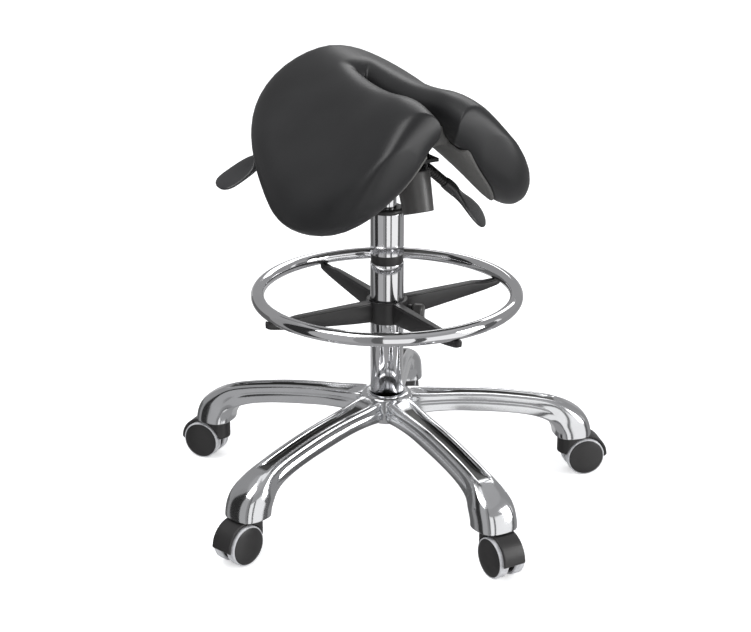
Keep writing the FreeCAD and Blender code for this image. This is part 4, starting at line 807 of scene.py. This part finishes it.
# ------------------------------------------------------------ column and lift
def make_column():
    """Two plated tubes parted by a dark band, and the guide's collar on top."""
    bore, band_low, band_high, top = 23.3, 371.9, 385.1, 449.9
    lower = lathe("lower_tube", [
        (COLUMN_R, band_low, 0.9), (COLUMN_R, 118.6), (12, 118.0, 1.0), (6, 118, 0), (6, 135, 0),
        (bore, 135, 0), (bore, band_low, 0.3)], steps=128)
    upper = lathe("upper_tube", [
        (COLUMN_R, top, 0.9), (COLUMN_R, band_high, 0.9), (bore, band_high, 0.3),
        (bore, top, 0.3)], steps=128)
    finish_piece(joined("column_sleeve", [lower, upper]), "chrome_steel", "base", "column_tube")
    bush = lathe("guide_bush", [
        (14.2, 360, 0), (22.9, 360, 0), (22.9, 371.0, 0), (24.0, 372.3, 0.4), (24.15, 376, 1.5),
        (24.15, 381, 1.5), (24.0, 384.7, 0.4), (22.9, 386, 0), (22.9, 450.05, 0), (COLUMN_R, 450.1, 0.6),
        (COLUMN_R, 454.5, 1.6), (22.6, 457, 1.5), (14.2, 457, 0.6)], steps=96)
    finish_piece(bush, "black_nylon", "base", "column_bush")


def make_lift():
    """The cylinder that rises from the column, narrower where it enters the mechanism."""
    lift = lathe("lift_cylinder", [(0, 192, 0), (14, 192, 1.0), (14, 513, 0), (13.3, 553, 1.0), (0, 553, 0)],
                 steps=96)
    finish_piece(lift, "chrome_steel", "lift", "gas_cylinder")


# ------------------------------------------------------------ castors
TRAIL = 21.0
WHEEL_R = 30.0
# (radius, distance from the castor's middle, rounding): a dished core with a domed disc outside
DISC = [(4.1, 4.5, 0.5), (9, 4.5, 0.5), (9, 15.5, 1), (22.8, 15.5, 1), (23.2, 5.5, 0.4),
        (26.1, 5.5, 0.4), (26.1, 19.6, 0), (27.6, 19.8, 0.3), (27.6, 20.8, 0.5), (25.6, 21.5, 1.5),
        (20.5, 22.8, 4), (12.0, 23.9, 6), (0, 24.3, 0), (0, 17.5, 0), (4.1, 17.5, 0)]
TREAD = [(26.15, 5.5, 0.3), (28.6, 5.5, 1.2), (WHEEL_R, 7.2, 1.2), (WHEEL_R, 18.8, 1.2),
         (29.2, 20.4, 0.8), (27.7, 20.9, 0.5), (27.65, 19.7, 0), (26.15, 19.5, 0)]


def make_wheel(number, side, name, turn):
    """One wheel's disc and tread, on the left or right of its castor."""
    body = f"castor_{number}_{name}"
    centre, axis = (STEM_R + TRAIL, 0, WHEEL_R), (0, side, 0)
    disc = placed(lathe(f"wheel_{number}_{name}", DISC, centre, axis, 64), turn)
    finish_piece(disc, "black_nylon", body, f"castor_{number}_wheel_{name}")
    tread = placed(lathe(f"tread_{number}_{name}", TREAD, centre, axis, 96), turn)
    finish_piece(tread, "grey_tread", body, f"castor_{number}_tread_{name}")


def melted_hood():
    """The castor's fork before it is turned to its leg: the solid's own form with soft edges."""
    mesh = NODES["castor_1_hood"].data.copy()
    mesh.transform(Matrix.Rotation(math.radians(-LEG_DEG[0]), 4, "Z"))
    item = bpy.data.objects.new("hood_work", mesh)
    bpy.context.scene.collection.objects.link(item)
    melted(item, 0.8, 6, 0.35)
    mesh = item.data
    bpy.data.objects.remove(item)
    return mesh


def make_castors():
    """Five castors, each a fork and two wheels."""
    hood = None
    for number, a in enumerate(LEG_DEG, start=1):
        turn = Matrix.Rotation(math.radians(a), 4, "Z")
        make_wheel(number, 1, "left", turn)
        make_wheel(number, -1, "right", turn)
        hood = hood or melted_hood()
        fork = bpy.data.objects.new(f"castor_fork_{number}", hood.copy())
        bpy.context.scene.collection.objects.link(fork)
        placed(fork, turn)
        shaded(fork.data)
        finish_piece(fork, "black_nylon", f"castor_{number}", f"castor_{number}_hood")


# ------------------------------------------------------------ foot ring
def ring_tree():
    """A round tube that follows a circle."""
    tree, given, made = new_tree(
        "ring_tube", [("Ring radius", 0.193), ("Tube radius", 0.010), ("Height", 0.322)],
        [("Round steps", 192), ("Tube steps", 32)])
    path = add(tree, "GeometryNodeCurvePrimitiveCircle",
               Resolution=given["Round steps"], Radius=given["Ring radius"])
    profile = add(tree, "GeometryNodeCurvePrimitiveCircle",
                  Resolution=given["Tube steps"], Radius=given["Tube radius"])
    tube = add(tree, "GeometryNodeCurveToMesh",
               Curve=path.outputs["Curve"], Profile_Curve=profile.outputs["Curve"])
    smooth = add(tree, "GeometryNodeSetShadeSmooth", Geometry=tube.outputs[0])
    lift = add(tree, "ShaderNodeCombineXYZ", Z=given["Height"])
    raised = add(tree, "GeometryNodeTransform",
                 Geometry=smooth.outputs[0], Translation=lift.outputs[0])
    whole = add(tree, "GeometryNodeRealizeInstances", Geometry=raised.outputs[0])
    painted = add(tree, "GeometryNodeSetMaterial",
                  Geometry=whole.outputs[0], Material=FINISH["chrome_steel"])
    tree.links.new(painted.outputs[0], made[0])
    return tree


HUB_LOW, HUB_TOP = 281.0, 314.0
KNOB_TURN_DEG = -43.5
# (radius, half width, underside, top) along a spoke, whose end is a tab under the ring
SPOKE = [(26, 8.2, HUB_LOW + 1, HUB_TOP), (60, 7.7, 284.6, HUB_TOP), (100, 7.1, 288.9, HUB_TOP),
         (152, 6.4, 294.6, HUB_TOP), (165, 6.2, 296.2, 312.6), (174, 6.1, 297.3, 311.2),
         (193, 5.8, 300.6, 311.4), (198, 5.6, 301.9, 312.6), (200.4, 4.6, 302.8, 313.8),
         (201.9, 2.9, 303.7, 314.2), (202.4, 1.3, 304.4, 314.0)]


def spoke_section(radius, half, under, top):
    """A closed loop round the spoke: a raised rib with a lip down each side."""
    lip = min(2.2, (top - under) * 0.3)
    edge = min(2.4, half * 0.4)
    ring = [(0, top), (half - edge, top), (half - 0.8 * edge, top - 0.5), (half - 0.7 * edge, top - lip),
            (half - 0.16 * edge, top - lip - 0.5), (half, top - lip - 1.6), (half * 0.9, under + 1.4),
            (half * 0.9 - 0.5 * edge, under), (0, under)]
    return [Vector((radius, y, z)) for y, z in ring] + [Vector((radius, -y, z)) for y, z in ring[-2:0:-1]]


def make_spoke():
    """One spoke along x, with its edges broken by half a millimetre."""
    spoke = skin("spoke", [spoke_section(*row) for row in SPOKE])
    bevel = spoke.modifiers.new("bevel", "BEVEL")
    bevel.width, bevel.segments = 0.5 * MM, 2
    bevel.limit_method, bevel.angle_limit = "ANGLE", math.radians(40)
    return baked(spoke)


def make_clamp_boss():
    """The boss that the clamp screw runs in, cut to the column."""
    boss = lathe("boss", [(0, 20, 0), (9, 20, 0), (9, 38.6, 1.2), (0, 39, 0)], (0, 0, 0), (1, 0, 0), 48)
    placed(boss, Matrix.Translation((0, 0, (HUB_LOW + HUB_TOP) / 2 * MM)))
    placed(boss, Matrix.Rotation(math.radians(KNOB_TURN_DEG), 4, "Z"))
    bore = lathe("bore", [(0, 200, 0), (25.15, 200, 0), (25.15, 400, 0), (0, 400, 0)], steps=96)
    return combined(boss, bore, "DIFFERENCE")


def make_spider():
    """Hub with four tapering spokes, each with a lipped top, and tabs under the ring."""
    pieces = [lathe("hub_ring", [(25.3, HUB_LOW, 0.6), (31, HUB_LOW, 1.2), (31, HUB_TOP, 1.6),
                                 (25.3, HUB_TOP, 0.8)], steps=96)]
    for k in range(4):
        pieces.append(placed(make_spoke(), Matrix.Rotation(math.radians(90 * k), 4, "Z")))
    pieces.append(make_clamp_boss())
    item = joined("ring_spider_moulding", pieces)
    shaded(item.data)
    return finish_piece(item, "black_nylon", "foot_rest", "ring_spider")


def make_foot_ring():
    """The plated ring, 406 mm across, whose tube is 20 mm thick."""
    ring = geometry_piece("foot_ring_tube", ring_tree(),
                          {"Ring radius": 0.193, "Tube radius": 0.010, "Height": 0.322})
    tidy_normals(ring)
    shaded(ring.data)
    finish_piece(ring, "chrome_steel", "foot_rest", "foot_ring")


def make_clamp_knob():
    """The knob with its wing: the solid's own form with softly rounded edges."""
    item = bpy.data.objects.new("ring_clamp_knob", NODES["clamp_knob"].data.copy())
    bpy.context.scene.collection.objects.link(item)
    melted(item, 0.5, 8, 0.4)
    shaded(item.data)
    return finish_piece(item, "black_nylon", "ring_clamp", "clamp_knob")


# ------------------------------------------------------------ mechanism and levers
def lighten_knobs(*names):
    """The hand knobs get a lighter grey copy of the black nylon than the castor forks."""
    look = moulded_plastic("moulded_grey_nylon", "4C4B4A", 0.33, 0.5, 0.22)
    for name in names:
        bpy.data.objects[name].data.materials[0] = look


SCREW_LEAN = math.radians(18)
SCREW_AXIS = (0, math.sin(SCREW_LEAN), math.cos(SCREW_LEAN))


def make_tension_knob():
    """A deep cup round the spring, wider at its mouth."""
    knob = lathe("tension_knob_cup", [
        (0, 1.2, 0), (14, 1.0, 2), (18.8, 0, 1.2), (22.3, 0, 1.8), (25.2, 56.2, 1.0), (24.6, 58, 1.2),
        (21.6, 58, 0.8), (18.6, 10.2, 2), (0, 10, 0)], (0, -88, 470), SCREW_AXIS, 96)
    return finish_piece(knob, "black_nylon", "tension_grip", "tension_knob")


# (share of the length, half width, half thickness, how far the socket has turned to the blade)
LEAF = [(0.03, 9.1, 8.4, 0.4), (0.09, 9.3, 7.0, 0.75), (0.17, 10.2, 5.0, 1), (0.28, 12.6, 3.8, 1),
        (0.40, 16.6, 3.3, 1), (0.53, 20.4, 3.2, 1), (0.66, 22.4, 3.15, 1), (0.77, 22.6, 3.1, 1),
        (0.86, 20.2, 2.9, 1), (0.93, 15.6, 2.6, 1), (0.975, 9.8, 2.1, 1), (0.995, 5.2, 1.3, 1)]
BROAD_LEAF = [(0.02, 10.4, 8.8, 0.4), (0.08, 14.0, 8.4, 0.7), (0.16, 17.6, 7.0, 1), (0.27, 20.4, 5.2, 1),
              (0.40, 22.0, 4.0, 1), (0.55, 22.6, 3.4, 1), (0.68, 22.7, 3.2, 1), (0.79, 21.8, 3.1, 1),
              (0.87, 19.4, 2.9, 1), (0.935, 15.4, 2.6, 1), (0.975, 10.0, 2.1, 1), (0.995, 5.6, 1.3, 1)]
SOCKET = [(-19.5, 7.4, 7.4, 0), (-19, 8.4, 8.4, 0), (-13, 9.1, 9.1, 0), (-5, 9.2, 9.2, 0.1)]


def paddle_mesh(name, root, along, blade, twist, length, leaf):
    """A hooded socket that flattens into a leaf-shaped blade with its front edge turned down by twist."""
    root, along, blade = Vector(root), Vector(along).normalized(), Vector(blade).normalized()
    turn = math.radians(twist)
    across = Vector((0, -math.cos(turn), -math.sin(turn)))
    across = (across - blade * across.dot(blade)).normalized()
    steps = 28
    loops = []
    for d, wide, thick, mix in SOCKET + [(share * length, *rest) for share, *rest in leaf]:
        way = along.lerp(blade, mix).normalized()
        side = (across - way * across.dot(way)).normalized()
        normal = way.cross(side)
        centre = root + (along * d if d < 0 else blade * d)
        power = 1.0 - 0.45 * mix
        loop = []
        for i in range(steps):
            a = 2 * math.pi * i / steps
            c, s = math.cos(a), math.sin(a)
            bulge = normal * (thick * math.copysign(abs(s) ** power, s))
            loop.append(centre + side * (wide * math.copysign(abs(c) ** 0.9, c)) + bulge)
        loops.append(loop)
    return subdivided(skin(name, loops), 1)


def slanted(x_way, degrees):
    """A direction along x that drops by that angle."""
    return Vector((x_way * math.cos(math.radians(degrees)), 0, -math.sin(math.radians(degrees))))


def make_tilt_lever():
    """The ribbed sleeve from the rod's bend and the leaf-shaped paddle at its end."""
    axis = slanted(1, 41)
    bend = Vector((42.5, -30, 522))
    paddle = paddle_mesh("tilt_paddle", bend + axis * 68, axis, slanted(1, 46), 50, 86, LEAF)
    finish_piece(paddle, "gloss_black_plastic", "tilt_lever", "tilt_lever_paddle")
    bore, start, end, ribs = 4.55, 8.1, 48, 9
    step = 40 / ribs
    outline = [(bore, start, 0)]
    for i in range(ribs):
        low = start + i * step
        outline += [(7.5, low, 0.6), (7.5, low + 0.6 * step, 0.6), (6.5, low + 0.7 * step, 0.3),
                    (6.5, low + step, 0.3)]
    outline.append((bore, end, 0))
    sleeve = lathe("ribbed_sleeve", outline, bend, axis, 48)
    finish_piece(sleeve, "black_nylon", "tilt_lever", "tilt_lever_sleeve")


def make_height_lever():
    """The broad paddle on the rider's right."""
    start, end = Vector((-110, 118, 514)), Vector((-134, 134, 513))
    along = (end - start).normalized()
    paddle = paddle_mesh("height_paddle", end + along * 10, along, slanted(-1, 27), 10, 72, BROAD_LEAF)
    finish_piece(paddle, "gloss_black_plastic", "height_lever", "height_lever_paddle")


# ------------------------------------------------------------ everything
def dress_kept_nodes():
    """The solids that stay get their real finish, and the spring a mesh of its own."""
    slots = {row["node"]: row["material_slot"] for row in frame["record"]["subparts"]}
    for name, item in NODES.items():
        if item.hide_render:
            continue
        item.data.materials.clear()
        item.data.materials.append(FINISH[slots[name]])
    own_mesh(NODES["tension_spring"])


make_camera()
make_stage()
make_light()
make_cushion()
make_cover("cover_left", "underside_panel_left", 1)
make_cover("cover_right", "underside_panel_right", -1)
make_star_base()
make_column()
make_lift()
make_castors()
make_foot_ring()
make_spider()
make_clamp_knob()
make_tension_knob()
lighten_knobs("ring_clamp_knob", "tension_knob_cup")
make_tilt_lever()
make_height_lever()
dress_kept_nodes()
